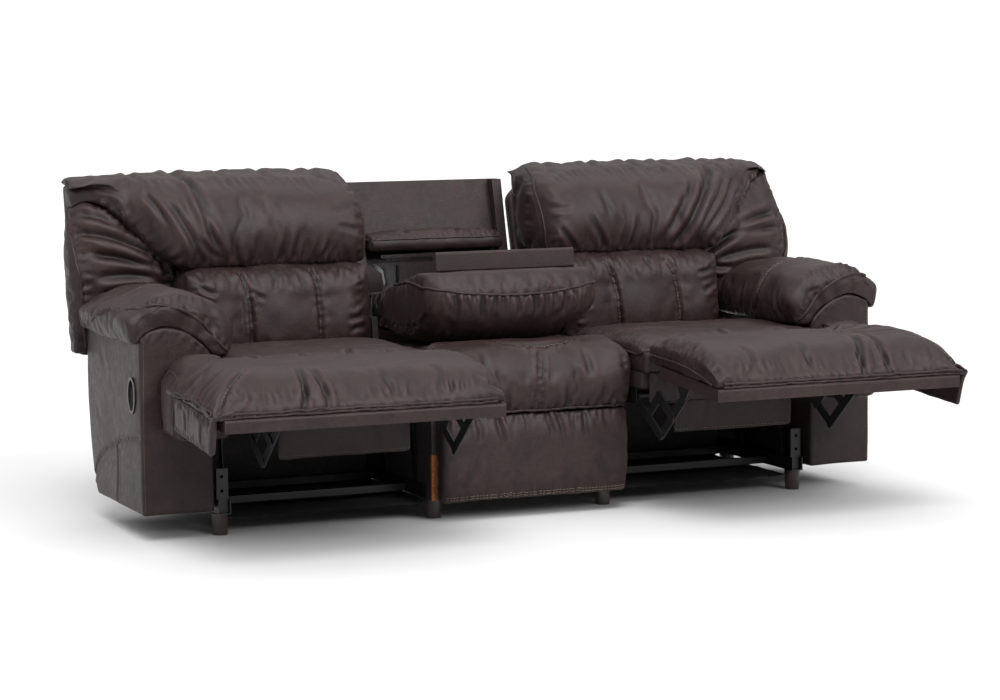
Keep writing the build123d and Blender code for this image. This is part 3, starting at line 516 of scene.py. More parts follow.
def gather_line(p, n, height, view, seam, heading, count, reach, width, depth, seed, spread=14):
    """Many short folds that leave a seam in one direction."""
    pick = random.Random(seed)
    seam = line_through(seam, 60)
    for number in range(count):
        share = min(0.999, max(0.0, (number + pick.uniform(0.15, 0.85)) / count))
        start = seam[int(share * 59)]
        angle = math.radians(heading + pick.uniform(-spread, spread))
        length = pick.uniform(*reach)
        bend = pick.uniform(-0.16, 0.16) * length
        way = np.array([math.cos(angle), math.sin(angle)])
        side = np.array([-way[1], way[0]])
        line = [start - way * 3, start + way * length * 0.5 + side * bend, start + way * length]
        fold_line(p, n, height, view, line, width * pick.uniform(0.7, 1.3),
                  depth * pick.uniform(0.5, 1.2), 0.55, pick.uniform(-0.5, 0.5), (0.03, 0.75))


def uneven(p, seed, size, amount):
    """A slow rise and fall of the stuffing, a few waves in random directions."""
    pick = random.Random(seed)
    total = np.zeros(len(p))
    for _ in range(9):
        way = np.array([pick.gauss(0, 1) for _ in range(3)])
        way *= 2 * math.pi / (size * pick.uniform(0.7, 1.6) * np.linalg.norm(way))
        total += np.sin(p @ way + pick.uniform(0, 6.28))
    return total * amount / 4.5


def sink_row(p, height, points, width, depth):
    """Draws the cover in along a seam that runs through the given points."""
    line = line_through(points, max(8, int(len(points) * 2)), bent=False)
    low, high = line.min(0) - 3 * width, line.max(0) + 3 * width
    near = ((p > low) & (p < high)).all(1)
    q = p[near]
    d = np.full(len(q), 1e9)
    for start in range(0, len(line), 64):
        part = line[start:start + 64]
        d = np.minimum(d, np.sqrt(((q[:, None] - part[None]) ** 2).sum(2)).min(1))
    height[near] -= depth * np.exp(-((d / width) ** 2))


# %% Sewing a cover
def refine(piece):
    """Subdivides the filled cover so that folds and gathers have vertices to stand on."""
    bpy.context.view_layer.objects.active = piece
    smooth = piece.modifiers.new("refine", "SUBSURF")
    smooth.levels = smooth.render_levels = 1
    graph = bpy.context.evaluated_depsgraph_get()
    made = bpy.data.meshes.new_from_object(piece.evaluated_get(graph))
    piece.modifiers.remove(smooth)
    old = piece.data
    piece.data = made
    bpy.data.meshes.remove(old)
    made.name = piece.name
    for face in made.polygons:
        face.use_smooth = True


def sew(piece, folds=(), gathers=(), seams=(), grain=(1, 90, 1.6), limit=14):
    """Presses folds, gathers and seams into a cover and stores their depth on it."""
    refine(piece)
    p, n = spots(piece), outward(piece)
    height = np.zeros(len(p))
    for view, line, settings in folds:
        fold_line(p, n, height, view, line, **settings)
    for view, seam, heading, count, reach, width, depth, seed in gathers:
        gather_line(p, n, height, view, seam, heading, count, reach, width, depth, seed)
    slow = uneven(p, *grain)
    for points, width, depth in seams:
        sink_row(p, height, points, width, depth)
    height = np.clip(height, -limit, limit)
    move_spots(piece, p + n * (height + slow)[:, None])
    # the depth also paints the cover's colour: a painted highlight on ridges, painted shade in creases
    # and seam grooves
    mark = piece.data.attributes.new("fold", "FLOAT", "POINT")
    mark.data.foreach_set("value", height.astype(np.float32))
    print("sewed", piece.name, len(p), "vertices, deepest", round(float(height.min()), 1), "mm")


# %% [markdown]
# Piping is a cord sewn into a folded strip of the cover, 8 to 10 mm thick. It follows a line given
# along the seam, laid onto the finished surface and lying half in it. The thread is a heavy nylon in
# a lighter brown, and its stitches are short raised capsules. Real ones are 6 mm long and under 1 mm
# thick: they are drawn 7.5 mm long and 1.1 mm thick here, or they would vanish in a picture of a
# whole sofa.

# %% Piping and thread
thread_work = {}


def surface_of(piece):
    """A lookup of the finished surface in sofa millimetres."""
    mesh = piece.data
    corners = [tuple(face.vertices) for face in mesh.polygons]
    return BVHTree.FromPolygons([Vector(v) for v in spots(piece)], corners)


def tube(points, radius, sides=8):
    """Vertices and faces of a tube along points; radius may vary from point to point."""
    p = np.array(points, float)
    count = len(p)
    radius = np.broadcast_to(np.asarray(radius, float), (count,))
    ahead = np.roll(p, -1, 0) - np.roll(p, 1, 0)
    ahead[0], ahead[-1] = p[1] - p[0], p[-1] - p[-2]
    ahead /= np.maximum(np.linalg.norm(ahead, axis=1), 1e-9)[:, None]
    side = np.cross(ahead[0], (0.31, 0.2, 0.93))
    rings = []
    for k in range(count):
        side = side - ahead[k] * (side @ ahead[k])
        side /= max(np.linalg.norm(side), 1e-9)
        up = np.cross(ahead[k], side)
        turn = np.linspace(0, 2 * math.pi, sides, endpoint=False)
        rings.append(p[k] + radius[k] * (np.cos(turn)[:, None] * side + np.sin(turn)[:, None] * up))
    verts = np.vstack(rings)
    faces = []
    for k in range(count - 1):
        for m in range(sides):
            a, b = k * sides + m, k * sides + (m + 1) % sides
            faces.append((a, b, b + sides, a + sides))
    faces.append(tuple(range(sides))[::-1])
    faces.append(tuple(range((count - 1) * sides, count * sides)))
    return verts, faces


def made_of(name, hand, parts, material):
    """One smooth object from several (vertices, faces) parts in sofa millimetres."""
    verts, faces, start = [], [], 0
    for v, f in parts:
        verts.append(v)
        faces += [tuple(int(k) + start for k in face) for face in f]
        start += len(v)
    if hand < 0:
        faces = [face[::-1] for face in faces]
    mesh = bpy.data.meshes.new(name)
    mesh.from_pydata(to_frame(np.vstack(verts), hand).tolist(), [], faces)
    mesh.update()
    for face in mesh.polygons:
        face.use_smooth = True
    mesh.materials.append(material)
    thing = bpy.data.objects.new(name, mesh)
    bpy.context.scene.collection.objects.link(thing)
    thing["hand"] = hand
    return thing


def piping(piece, routes, radius=4.2, lift=0.25, seed=3, wave=0.0):
    """Welts laid on the finished cover along lines given in sofa millimetres."""
    surface = surface_of(piece)
    pick = random.Random(seed)
    parts = []
    for line in routes:
        line = np.array(line, float)
        length = np.linalg.norm(np.diff(line, axis=0), axis=1).sum()
        count = max(6, int(length / 6))
        route, lean = [], []
        for spot in line_through(line, count):
            found = surface.find_nearest(Vector(spot))
            route.append(np.array(found[0]))
            lean.append(np.array(found[1]))
        route, lean = np.array(route), np.array(lean)
        for _ in range(4):
            route[1:-1] = (route[:-2] + 2 * route[1:-1] + route[2:]) / 4
            lean[1:-1] = (lean[:-2] + 2 * lean[1:-1] + lean[2:]) / 4
        lean /= np.maximum(np.linalg.norm(lean, axis=1), 1e-9)[:, None]
        ripple = np.cumsum([pick.uniform(0.2, 0.75) for _ in range(count)])
        route = route + lean * (radius * lift + wave * np.sin(ripple))[:, None]
        thick = radius * (1 + 0.12 * np.sin(ripple * 1.7 + 1))
        parts.append(tube(route, thick, 8))
    return made_of(piece.name + "_piping", piece["hand"], parts, cover)


def stitch(piece, points, offsets=(0,), pitch=11.0, length=7.5, thick=1.1, surface=None):
    """Lays a row of stitches on a cover along points given on or near its surface."""
    surface = surface or surface_of(piece)
    p = np.array(points, float)
    total = np.linalg.norm(np.diff(p, axis=0), axis=1).sum()
    line = line_through(p, max(3, int(total / pitch)))
    ahead = np.gradient(line, axis=0)
    ahead /= np.maximum(np.linalg.norm(ahead, axis=1), 1e-9)[:, None]
    work = thread_work.setdefault(piece.name, [])
    for offset in offsets:
        for spot, way in zip(line, ahead):
            found = surface.find_nearest(Vector(spot))
            out = np.array(found[1])
            side = np.cross(out, way)
            side /= max(np.linalg.norm(side), 1e-9)
            found = surface.find_nearest(Vector(np.array(found[0]) + side * offset))
            spot_on, out = np.array(found[0]), np.array(found[1])
            along = way - out * (way @ out)
            along /= max(np.linalg.norm(along), 1e-9)
            base = spot_on + out * thick * 0.35
            steps = np.array([-0.5, -0.34, 0, 0.34, 0.5])
            dip = np.array([-0.7, 0.1, 0.45, 0.1, -0.7]) * thick
            route = base + steps[:, None] * length * along + dip[:, None] * out
            work.append(tube(route, np.array([0.45, 0.95, 1.0, 0.95, 0.45]) * thick * 0.5 * 1.6, 5))


def thread_up(piece, material):
    """Turns the stitches noted for a cover into one piece of thread."""
    work = thread_work.pop(piece.name, None)
    if not work:
        return None
    return made_of(piece.name + "_thread", piece["hand"], work, material)

# %% [markdown]
# ## The covers of one seat
# Both end seats have the same cut, so each piece is written once, for the right hand, and made for
# both. The folds differ, because no two covers are sewn or sat on alike.
#
# The head cushion is the big pillow at the top of the back. Its front is one panel that rolls over
# the top edge of the board, and its lower edge climbs to a peak at the outer corner. Six sections
# from its inner end to the peak give that form.

# %% Head cushion
def head_section(low, front, depth, top, crest=970):
    """The pillow at one width: low edge height, how far its front stands out, and its top seam."""
    board = back_board(low)
    return section(
        (board - front, low), (top, crest - 3), (757, 945), (board - 1.5, low),
        face=[
            (board - front - depth, low + (crest - low) * 0.17),
            (board - front - depth + 4, low + (crest - low) * 0.38),
            (board - front - depth + 36, low + (crest - low) * 0.66),
            (top - 58, crest - 26),
        ],
        over=[((top + 757) / 2, crest + 1)],
        rear=[(back_board(936.5) - 1, 936.8)],
    )


inner_end = {1: 271, -1: 306}
seam_corner = {1: 832, -1: 866}
peak = {1: (1136, 948), -1: (1140, 958)}
slant_line = {
    1: ([832, 899, 972, 1028, 1079, 1140], [704, 768, 830, 876, 914, 936]),
    -1: ([866, 896, 943, 999, 1039, 1081, 1106, 1140], [704, 728, 774, 832, 868, 892, 892, 872]),
}


def seam_height(hand, x):
    """Height of the slanting seam between the head cushion and the wing."""
    return float(np.interp(x, *slant_line[hand]))


head = {}
for hand, side in ((1, "right"), (-1, "left")):
    start, corner, (tip, tip_crest) = inner_end[hand], seam_corner[hand], peak[hand]
    head_sections = [
        (start, head_section(712, 186, 10, 636, 936)),
        (start + 18, head_section(706, 202, 13, 628, 953)),
        (start + 46, head_section(705, 214, 16, 630, 964)),
        (580, head_section(704, 215, 18, 632, 966)),
        (corner - 4, head_section(704, 213, 16, 632, 966)),
        (970, head_section(seam_height(hand, 970) + 1, 164, 12, 634, 963)),
        (1060, head_section(seam_height(hand, 1060) + 1, 118, 6, 646, 960)),
        (1106, head_section(seam_height(hand, 1106) + 1, 78, 2, 670, 960 if hand < 0 else 956)),
        (tip, head_section(seam_height(hand, tip) + 1, 62 if hand < 0 else 44, 0, 690, tip_crest)),
    ]
    piece = cushion(f"{side}_head_cushion", hand, head_sections, ends=(2, 2), relax=3)
    fill_later(piece, seam_rows(piece, "low_front", "top_front", "top_rear", "low_rear"),
               pressure=3.5, extra=0.03, cap=9)
    head[side] = piece
print("head cushion cut in", cages["right_head_cushion"].shape, "grid")

# %% [markdown]
# The lumbar cushion fills the small of the back, between the seat and the head cushion. Two sewn
# channels part it into three pads, so its front swells less along them.

# %% Lumbar cushion
def lumbar_section(front, low, high):
    """The small-of-the-back pad at one width."""
    return section(
        (front + 12, low), (front + 62, high), (back_board(high) - 1.5, high),
        (back_board(low) - 1.5, low),
        face=[(front, low + 60), (front + 8, low + 160), (front + 26, low + 236)],
    )


lumbar = {}
for hand, side in ((1, "right"), (-1, "left")):
    outer = seam_corner[hand] - 2
    lumbar_sections = [
        (319, lumbar_section(400, 452, 697)), (366, lumbar_section(382, 443, 701)),
        (475, lumbar_section(386, 442, 700)), (585, lumbar_section(376, 442, 701)),
        (695, lumbar_section(386, 442, 700)), (outer - 42, lumbar_section(382, 443, 699)),
        (outer, lumbar_section(398, 452, 690)),
    ]
    piece = cushion(f"{side}_lumbar_cover", hand, lumbar_sections, ends=(5, 5), relax=3)
    spans = cages[piece.name].shape[0] - 1
    channels = [row(piece, i=round(spans * share), j=0) for share in (0.285, 0.715)]
    fill_later(piece, seam_rows(piece, "low_front", "top_front") + channels,
               pressure=3.5, extra=0.03, cap=10)
    lumbar[side] = piece
print("lumbar cover cut in", cages["right_lumbar_cover"].shape, "grid")

# %% [markdown]
# The wing is the part of the back beside the two cushions. Its top follows the slanting seam under
# the head cushion, its outer edge is piped, and two long deep folds run from that edge down to the
# corner of the lumbar cushion.

# %% Wing of the back
def wing_section(hand, x, brow, swell):
    """The wing at one width."""
    top = seam_height(hand, x) - 1
    board = back_board(top)
    return section(
        (559, 464), (board - brow, top), (board - 1.5, top), (back_board(464) - 1.5, 464),
        face=[(556, 545), (553, 620), (min(553, board - brow) - swell * 0.4, min(690, top - 22)),
              ((553 + board - brow) / 2 - swell, top - (top - min(690, top - 22)) * 0.42)],
    )


def flare(p):
    """Lets the lower outer edge of the wing stand out, as its stuffing pushes it over the arm."""
    out = step_up(1010, 1132, p[:, 0]) * step_up(950, 700, p[:, 2])
    p[:, 0] += 26 * out
    return p


wing = {}
for hand, side in ((1, "right"), (-1, "left")):
    start = seam_corner[hand] + 4
    wing_sections = [(x, wing_section(hand, x, brow, swell)) for x, brow, swell in (
        (start, 140, 2), (start + 67, 134, 10), (985, 120, 14), (1060, 96, 14), (1106, 84, 12),
        (1136, 60, 4))]
    piece = cushion(f"{side}_wing_cover", hand, wing_sections, ends=(0, 4), relax=2, warp=flare)
    fill_later(piece, seam_rows(piece, "low_front", "top_front"), pressure=3, extra=0.03, cap=8)
    wing[side] = piece
print("wing cover cut in", cages["right_wing_cover"].shape, "grid")

# %% [markdown]
# The arm pad is a fat saddle over the top of the arm: it hangs a hand's width down on the seat side
# and ends in a short lip outside. Its sections run from the front arch to the back, so the arch at the
# front and the outer edge, where the piping runs, are rows of the grid.

# %% Arm pad
arch = [(1130, 556), (1102, 573), (1060, 583.4), (1010, 573), (966, 545), (930, 508)]


def saddle(crest, spread, inner_low=498, outer_low=541):
    """The arm pad at one depth, seen from the front: x, z."""
    inner, outer = 930 - spread, 1130 + spread * 0.5
    return (
        ([(inner + 14, inner_low + 3), (inner, (inner_low + crest) / 2 - 14),
          (930 - spread * 0.42, crest - 40)], True),
        ([(930 - spread * 0.42, crest - 40), (975, crest - 9), (1040, crest), (1096, crest - 10),
          (1127, crest - 32)], True),
        ([(1127, crest - 32), (outer - 1, (outer_low + crest) / 2 + 4), (outer - 12, outer_low)],
            True),
        ([(outer - 12, outer_low), (1133, outer_low), *[(x, z + 2.5) for x, z in arch],
          (927, inner_low), (inner + 14, inner_low + 3)], False),
    )


arm_sections = [
    (1, saddle(640, 46)), (14, saddle(662, 64)), (48, saddle(671, 71)), (150, saddle(672, 71)),
    (290, saddle(669, 69)), (430, saddle(659, 62)), (545, saddle(640, 52)),
]
arm_pads = {}
for hand, side in ((1, "right"), (-1, "left")):
    piece = cushion(f"{side}_arm_cushion", hand, arm_sections, ends=(3, 0), axis="y", relax=2)
    fill_later(piece, seam_rows(piece, "low_front", "low_rear", "top_rear"),
               pressure=3.5, extra=0.03, cap=9)
    arm_pads[side] = piece
print("arm pad cut in", cages["right_arm_cushion"].shape, "grid")

# %% [markdown]
# The body of the arm is a box of board with a thin layer of wadding under the cover. It is nearly
# flat, with soft corners, a rounded lower rear corner and a slight belly outside. The release
# handle's cup is let into the outer side, so the cover is drawn into an oval there.

# %% Arm body
def arm_side(top):
    """The side of the arm at one width, up to the height of its arched top."""
    return section(
        (1, 74), (1, top), (528, top), (461, 74),
        rear=[(540, 500), (545, 420), (543, 330), (530, 240), (508, 160), (482, 105)],
    )


arm_widths = [(x, arm_side(z - 1)) for x, z in reversed(arch)]
cup_y, cup_z, cup_wide, cup_high = 70.0, 396.0, 30.0, 45.0


def cup_hole(p):
    """Draws the outer side of the cover into the oval of the handle's cup."""
    away = p[:, [1, 2]] - (cup_y, cup_z)
    share = np.linalg.norm(away / (cup_wide, cup_high), axis=1)
    outer = p[:, 0] > 1110
    rim = outer & (share > 0.72) & (share < 1.12)
    p[rim, 1] = cup_y + away[rim, 0] / share[rim]
    p[rim, 2] = cup_z + away[rim, 1] / share[rim]
    hole = outer & (share <= 0.72)
    p[hole, 0] = 1104
    return p


arm_bodies = {}
for hand, side in ((1, "right"), (-1, "left")):
    piece = cushion(f"{side}_arm_cover", hand, arm_widths, ends=(0, 6), relax=1, warp=cup_hole)
    arm_bodies[side] = piece
print("arm cover cut in", cages["right_arm_cover"].shape, "grid")

# %% [markdown]
# The seat cushion is one T: a flat crowned pad between the arms, and a block that comes round in
# front of the arm. The two are cut and sewn apart, as on the real seat, and meet at a seam.

# %% Seat cushion
def seat_section(crown, edge=468, draw=0):
    """The seat pad at one width."""
    return section(
        (-143 + draw, 401), (-141 + draw, edge), (381 - draw, edge), (382 - draw, 401),
        face=[(-147 + draw, 436)],
        over=[(-80, crown - 4), (60, crown), (220, crown), (330, crown - 5)],
    )


seat_sections = [(308, seat_section(474, 458, 8)), (348, seat_section(486)),
    (597, seat_section(488)),
                 (884, seat_section(485)), (924, seat_section(481))]
block_sections = [
    (925.5, section((-136, 294), (-136, 470), (-9, 470), (-8, 293), face=[(-139, 380)],
        over=[(-75, 494)])),
    (965, section((-136, 293), (-134, 484), (-9, 484), (-8, 292), face=[(-141, 390)],
        over=[(-75, 512)])),
    (1020, section((-136, 293), (-133, 484), (-9, 484), (-8, 292), face=[(-142, 390)],
        over=[(-75, 512)])),
    (1060, section((-134, 294), (-130, 462), (-11, 462), (-8, 293), face=[(-139, 380)],
        over=[(-75, 488)])),
    (1080, section((-120, 304), (-117, 428), (-24, 428), (-20, 302), face=[(-124, 370)],
        over=[(-75, 444)])),
]
seats, seat_blocks = {}, {}
for hand, side in ((1, "right"), (-1, "left")):
    piece = cushion(f"{side}_seat_pad", hand, seat_sections, ends=(0, 0), relax=2)
    fill_later(piece, seam_rows(piece, "low_front", "top_front", "top_rear"),
               pressure=3.5, extra=0.02, cap=12)
    seats[side] = piece
    piece = cushion(f"{side}_seat_block", hand, block_sections, ends=(0, 2), relax=2)
    fill_later(piece, [row(piece, j=0, k=0), row(piece, j=-1, k=0), end_row(piece, 0),
                       row(piece, i=-1, k=-1)], pressure=3, extra=0.02, cap=4)
    seat_blocks[side] = piece
print("seat pad cut in", cages["right_seat_pad"].shape, "grid")

# %% [markdown]
# Under the edge of the seat cushion a padded roll comes down in front of the wooden box, and below it
# a covered board hangs between the links and hides the mechanism.

# %% Seat front
nose_pad_sections = [
    (322, section((-140, 314), (-142, 398), (-133, 400), (-133, 314), face=[(-142, 355)])),
    (352, section((-142, 313), (-144, 399), (-133, 401), (-133, 313), face=[(-145, 352)])),
    (828, section((-142, 313), (-144, 399), (-133, 401), (-133, 313), face=[(-145, 352)])),
    (856, section((-140, 314), (-142, 398), (-133, 400), (-133, 314), face=[(-142, 355)])),
]
front_pad_sections = [
    (407, section((-130, 226), (-130, 396), (-118.6, 398), (-118.6, 224), face=[(-132, 300)])),
    (430, section((-131, 224), (-131, 398), (-118.6, 399), (-118.6, 223), face=[(-137, 310)])),
    (764, section((-131, 224), (-131, 398), (-118.6, 399), (-118.6, 223), face=[(-137, 310)])),
    (787, section((-130, 226), (-130, 396), (-118.6, 398), (-118.6, 224), face=[(-132, 300)])),
]
seat_fronts, seat_noses = {}, {}
for hand, side in ((1, "right"), (-1, "left")):
    seat_fronts[side] = cushion(f"{side}_seat_front", hand, front_pad_sections, relax=1)
    seat_noses[side] = cushion(f"{side}_seat_nose", hand, nose_pad_sections, pitch=9, relax=1)
print("seat front cut in", cages["right_seat_front"].shape, "grid")

# %% [markdown]
# The footrest pad is one long cushion over its board. Its front rolls down to a piped seam, and at
# the outer end a mitred seam turns it into a wing that slopes down to a wavy, gathered edge.

# %% Footrest pad
def rest_section(crown, front_top=448, low=400, outer=0):
    """The footrest pad at one width; it climbs five degrees to the seat."""
    return section(
        (-568, low), (-548, front_top - outer * 0.6), (-166, 488 - outer), (-162, 437),
        face=[(-576, low + 18)],
        over=[(-505, 464 + crown * 0.62 - outer * 0.9), (-430, 474 + crown - outer),
              (-330, 482 + crown - outer), (-225, 488 + crown * 0.6 - outer)],
    )


rest_sections = [
    (311, rest_section(8, 434, 401, 8)), (350, rest_section(22)), (600, rest_section(24)),
    (860, rest_section(25)), (960, rest_section(31)), (1030, rest_section(26, 444, 400, 6)),
    (1078, rest_section(12, 430, 399, 26)), (1108, rest_section(0, 408, 394, 62)),
]
rests = {}
for hand, side in ((1, "right"), (-1, "left")):
    piece = cushion(f"{side}_footrest_cushion", hand, rest_sections, ends=(2, 2), relax=2)
    fill_later(piece, seam_rows(piece, "low_front", "top_rear"), pressure=3.5, extra=0.03, cap=9)
    rests[side] = piece
print("footrest pad cut in", cages["right_footrest_cushion"].shape, "grid")

# %% [markdown]
# The flap is the padded side of the footrest that hangs at the outer end.

# %% Footrest flap
flap_sections = [
    (1093, section((-530, 310), (-556, 396), (-238, 424), (-234, 334))),
    (1101, section((-532, 306), (-560, 399), (-235, 427), (-231, 331))),
    (1108, section((-530, 310), (-556, 396), (-238, 424), (-234, 334))),
]
rest_flaps = {}
for hand, side in ((1, "right"), (-1, "left")):
    rest_flaps[side] = cushion(f"{side}_footrest_side", hand, flap_sections, ends=(1, 4), pitch=9,
        relax=1)
print("footrest flap cut in", cages["right_footrest_side"].shape, "grid")

# %% [markdown]
# ## The centre unit
# The centre seat has a fat nose that rolls over the front board down to a seam, with a panel below
# it. Behind them lies the back, folded down into a console: its pillow hangs under the tray.

# %% Centre seat and front panel
def centre_section(draw, crown, nose):
    """The centre seat at one width."""
    return section(
        (-69 + draw, 303 + draw), (-69 + draw, 466 - draw), (375, 467 - draw), (376, 397),
        face=[(-70 - nose * 0.8 + draw * 0.5, 345), (-70 - nose + draw * 0.5, 385),
            (-70 - nose * 0.82, 428)],
        over=[(-20, 478 + crown * 0.2 - draw), (60, 470 + crown - draw),
            (150, 462 + crown * 0.6 - draw)],
        under=[(-19.5, 397), (-21, 303)],
    )


centre_sections = [(-289, centre_section(9, 8, 12)), (-250, centre_section(1, 16, 22)),
                   (0, centre_section(0, 18, 25)), (250, centre_section(1, 16, 22)),
                   (289, centre_section(9, 8, 12))]
centre_seat = cushion("centre_seat_pad", 1, centre_sections, ends=(2, 2), relax=2)
fill_later(centre_seat, seam_rows(centre_seat, "low_front", "top_rear"),
           pressure=3.5, extra=0.03, cap=9)


def panel_section(draw, bow):
    """The front panel at one width."""
    return section(
        (-68 + draw, 57), (-69 + draw, 299 - draw * 0.4), (-21, 299), (-21, 57),
        face=[(-70 - bow * 0.7, 110), (-70 - bow, 180), (-70 - bow * 0.8, 250)],
    )


panel_sections = [(-284, panel_section(8, 4)), (-245, panel_section(1, 8)),
    (0, panel_section(0, 9)),
                  (245, panel_section(1, 8)), (284, panel_section(8, 4))]
centre_panel = cushion("centre_panel_pad", 1, panel_sections, ends=(2, 2), relax=2)
fill_later(centre_panel, seam_rows(centre_panel, "low_front", "top_front"),
           pressure=3, extra=0.02, cap=6)
print("centre seat cut in", cages["centre_seat_pad"].shape, "grid")

# %% Console pillow and padded flap
def console_spot(reach, drop):
    """A point of the folded back from its reach forwards and its drop below the tray."""
    tilt = math.radians(4.5)
    return (575 - reach * math.cos(tilt) - drop * math.sin(tilt),
            712 + reach * math.sin(tilt) - drop * math.cos(tilt))


def roll_section(bow, lower, belly):
    """The hanging pillow at one width."""
    at = console_spot
    return section(
        at(396 + bow, 250 + lower), at(492 + bow, 62), at(17, 113.5), at(17, 220 + lower),
        face=[at(460 + bow, 222 + lower), at(505 + bow + belly, 172 + lower * 0.5),
            at(511 + bow + belly, 112)],
        over=[at(411, 61.5), at(90, 113.5)],
        under=[at(140, 228 + lower + belly * 0.3), at(290, 250 + lower + belly * 0.5)],
    )


def tuck(p):
    """Draws the lower right corner of the pillow in, as the cover does on the real one."""
    low = step_up(610, 500, p[:, 2]) * step_up(120, 256, p[:, 0])
    p[:, 0] -= 46 * low
    return p


roll_sections = [(-271, roll_section(-16, -16, 0)), (-224, roll_section(10, -2, 4)),
                 (-110, roll_section(24, 0, 6)), (0, roll_section(29, 0, 7)),
                 (110, roll_section(24, 0, 6)), (218, roll_section(12, -2, 4)),
                 (252, roll_section(-12, -14, 0))]
for k, (place, sides) in enumerate(roll_sections):
    sides = list(sides)
    sides[1] = (sides[1][0], False)
    roll_sections[k] = (place, tuple(sides))
roll = cushion("console_pillow_cover", 1, roll_sections, ends=(2, 2), relax=2, warp=tuck)
fill_later(roll, seam_rows(roll, "top_front"), pressure=3.5, extra=0.03, cap=5)


def lid_section(draw, crown):
    """The padded flap behind the tray at one width."""
    return section(
        (648 + draw, 716), (644 + draw, 752 - draw * 0.5), (736, 766 - draw * 0.5), (736, 718),
        face=[(640 + draw, 735)],
        over=[(672, 762 + crown * 0.9 - draw * 0.4), (705, 768 + crown * 0.9 - draw * 0.4)],
    )


lid = cushion("console_flap_cover", 1, [(-216, lid_section(7, 2)), (-176, lid_section(0, 8)),
                                        (0, lid_section(0, 12)), (176, lid_section(0, 8)),
                                        (216, lid_section(7, 2))], ends=(1, 1), pitch=9, relax=2)
print("console pillow cut in", cages["console_pillow_cover"].shape, "grid")

# %% [markdown]
# The reclining backs are closed behind by a tight, thinly padded cover over the board, turned round
# its side edges. It has no stuffing to speak of, so it's a flat cushion that encloses the board.

# %% Back covers
def back_section(swell):
    """The covered back board at one width."""
    return section(
        (back_board(453) + 3, 453), (back_board(937) + 3, 937), (back_board(937) + 45, 937),
        (back_board(453) + 45, 453),
        rear=[(back_board(930) + 47 + swell, 930), (back_board(700) + 49 + swell, 700),
              (back_board(460) + 47 + swell, 460)],
    )


def inner_side(p):
    """Lets the cover's inner side bulge towards the console, between its ends."""
    level = step_up(600, 650, p[:, 2]) * step_up(905, 860, p[:, 2])
    p[:, 0] -= 41 * level * step_up(340, 303, p[:, 0])
    return p


back_covers = {}
for hand, side in ((1, "right"), (-1, "left")):
    back_covers[side] = cushion(f"{side}_back_cover", hand, [
        (303, back_section(0)), (340, back_section(3)), (1090, back_section(3)),
        (1133, back_section(0)),
    ], ends=(1, 4), pitch=14, relax=2, warp=inner_side if hand > 0 else None)
print("back cover cut in", cages["right_back_cover"].shape, "grid")

# %% Filling all covers
fill_covers()

# %% [markdown]
# ## Sewing the backs
# The tight cover of the head cushion can't follow its outer corner, so it folds there in long
# pleats that hang from the top seam. Along its lower and upper seams the cut cloth is longer than
# the seam and is eased in as small gathers. The lines below are chalked after the photograph.

# %% Head cushions
welts = {}


def crease(view, line, width=9, depth=5, lip=0.5, lap=0.0, fade=(0.2, 0.35)):
    """One chalked fold with its settings."""
    return view, line, {"width": width, "depth": depth, "lip": lip, "lap": lap, "fade": fade}


def notch(x, width=11, depth=5, lean=0):
    """A dip where the stuffing gives way along the top edge."""
    return crease("top", [(x, 560), (x + lean, 640), (x + lean * 1.3, 730)], width, depth, 0.7, 0,
        (0.3, 0.3))


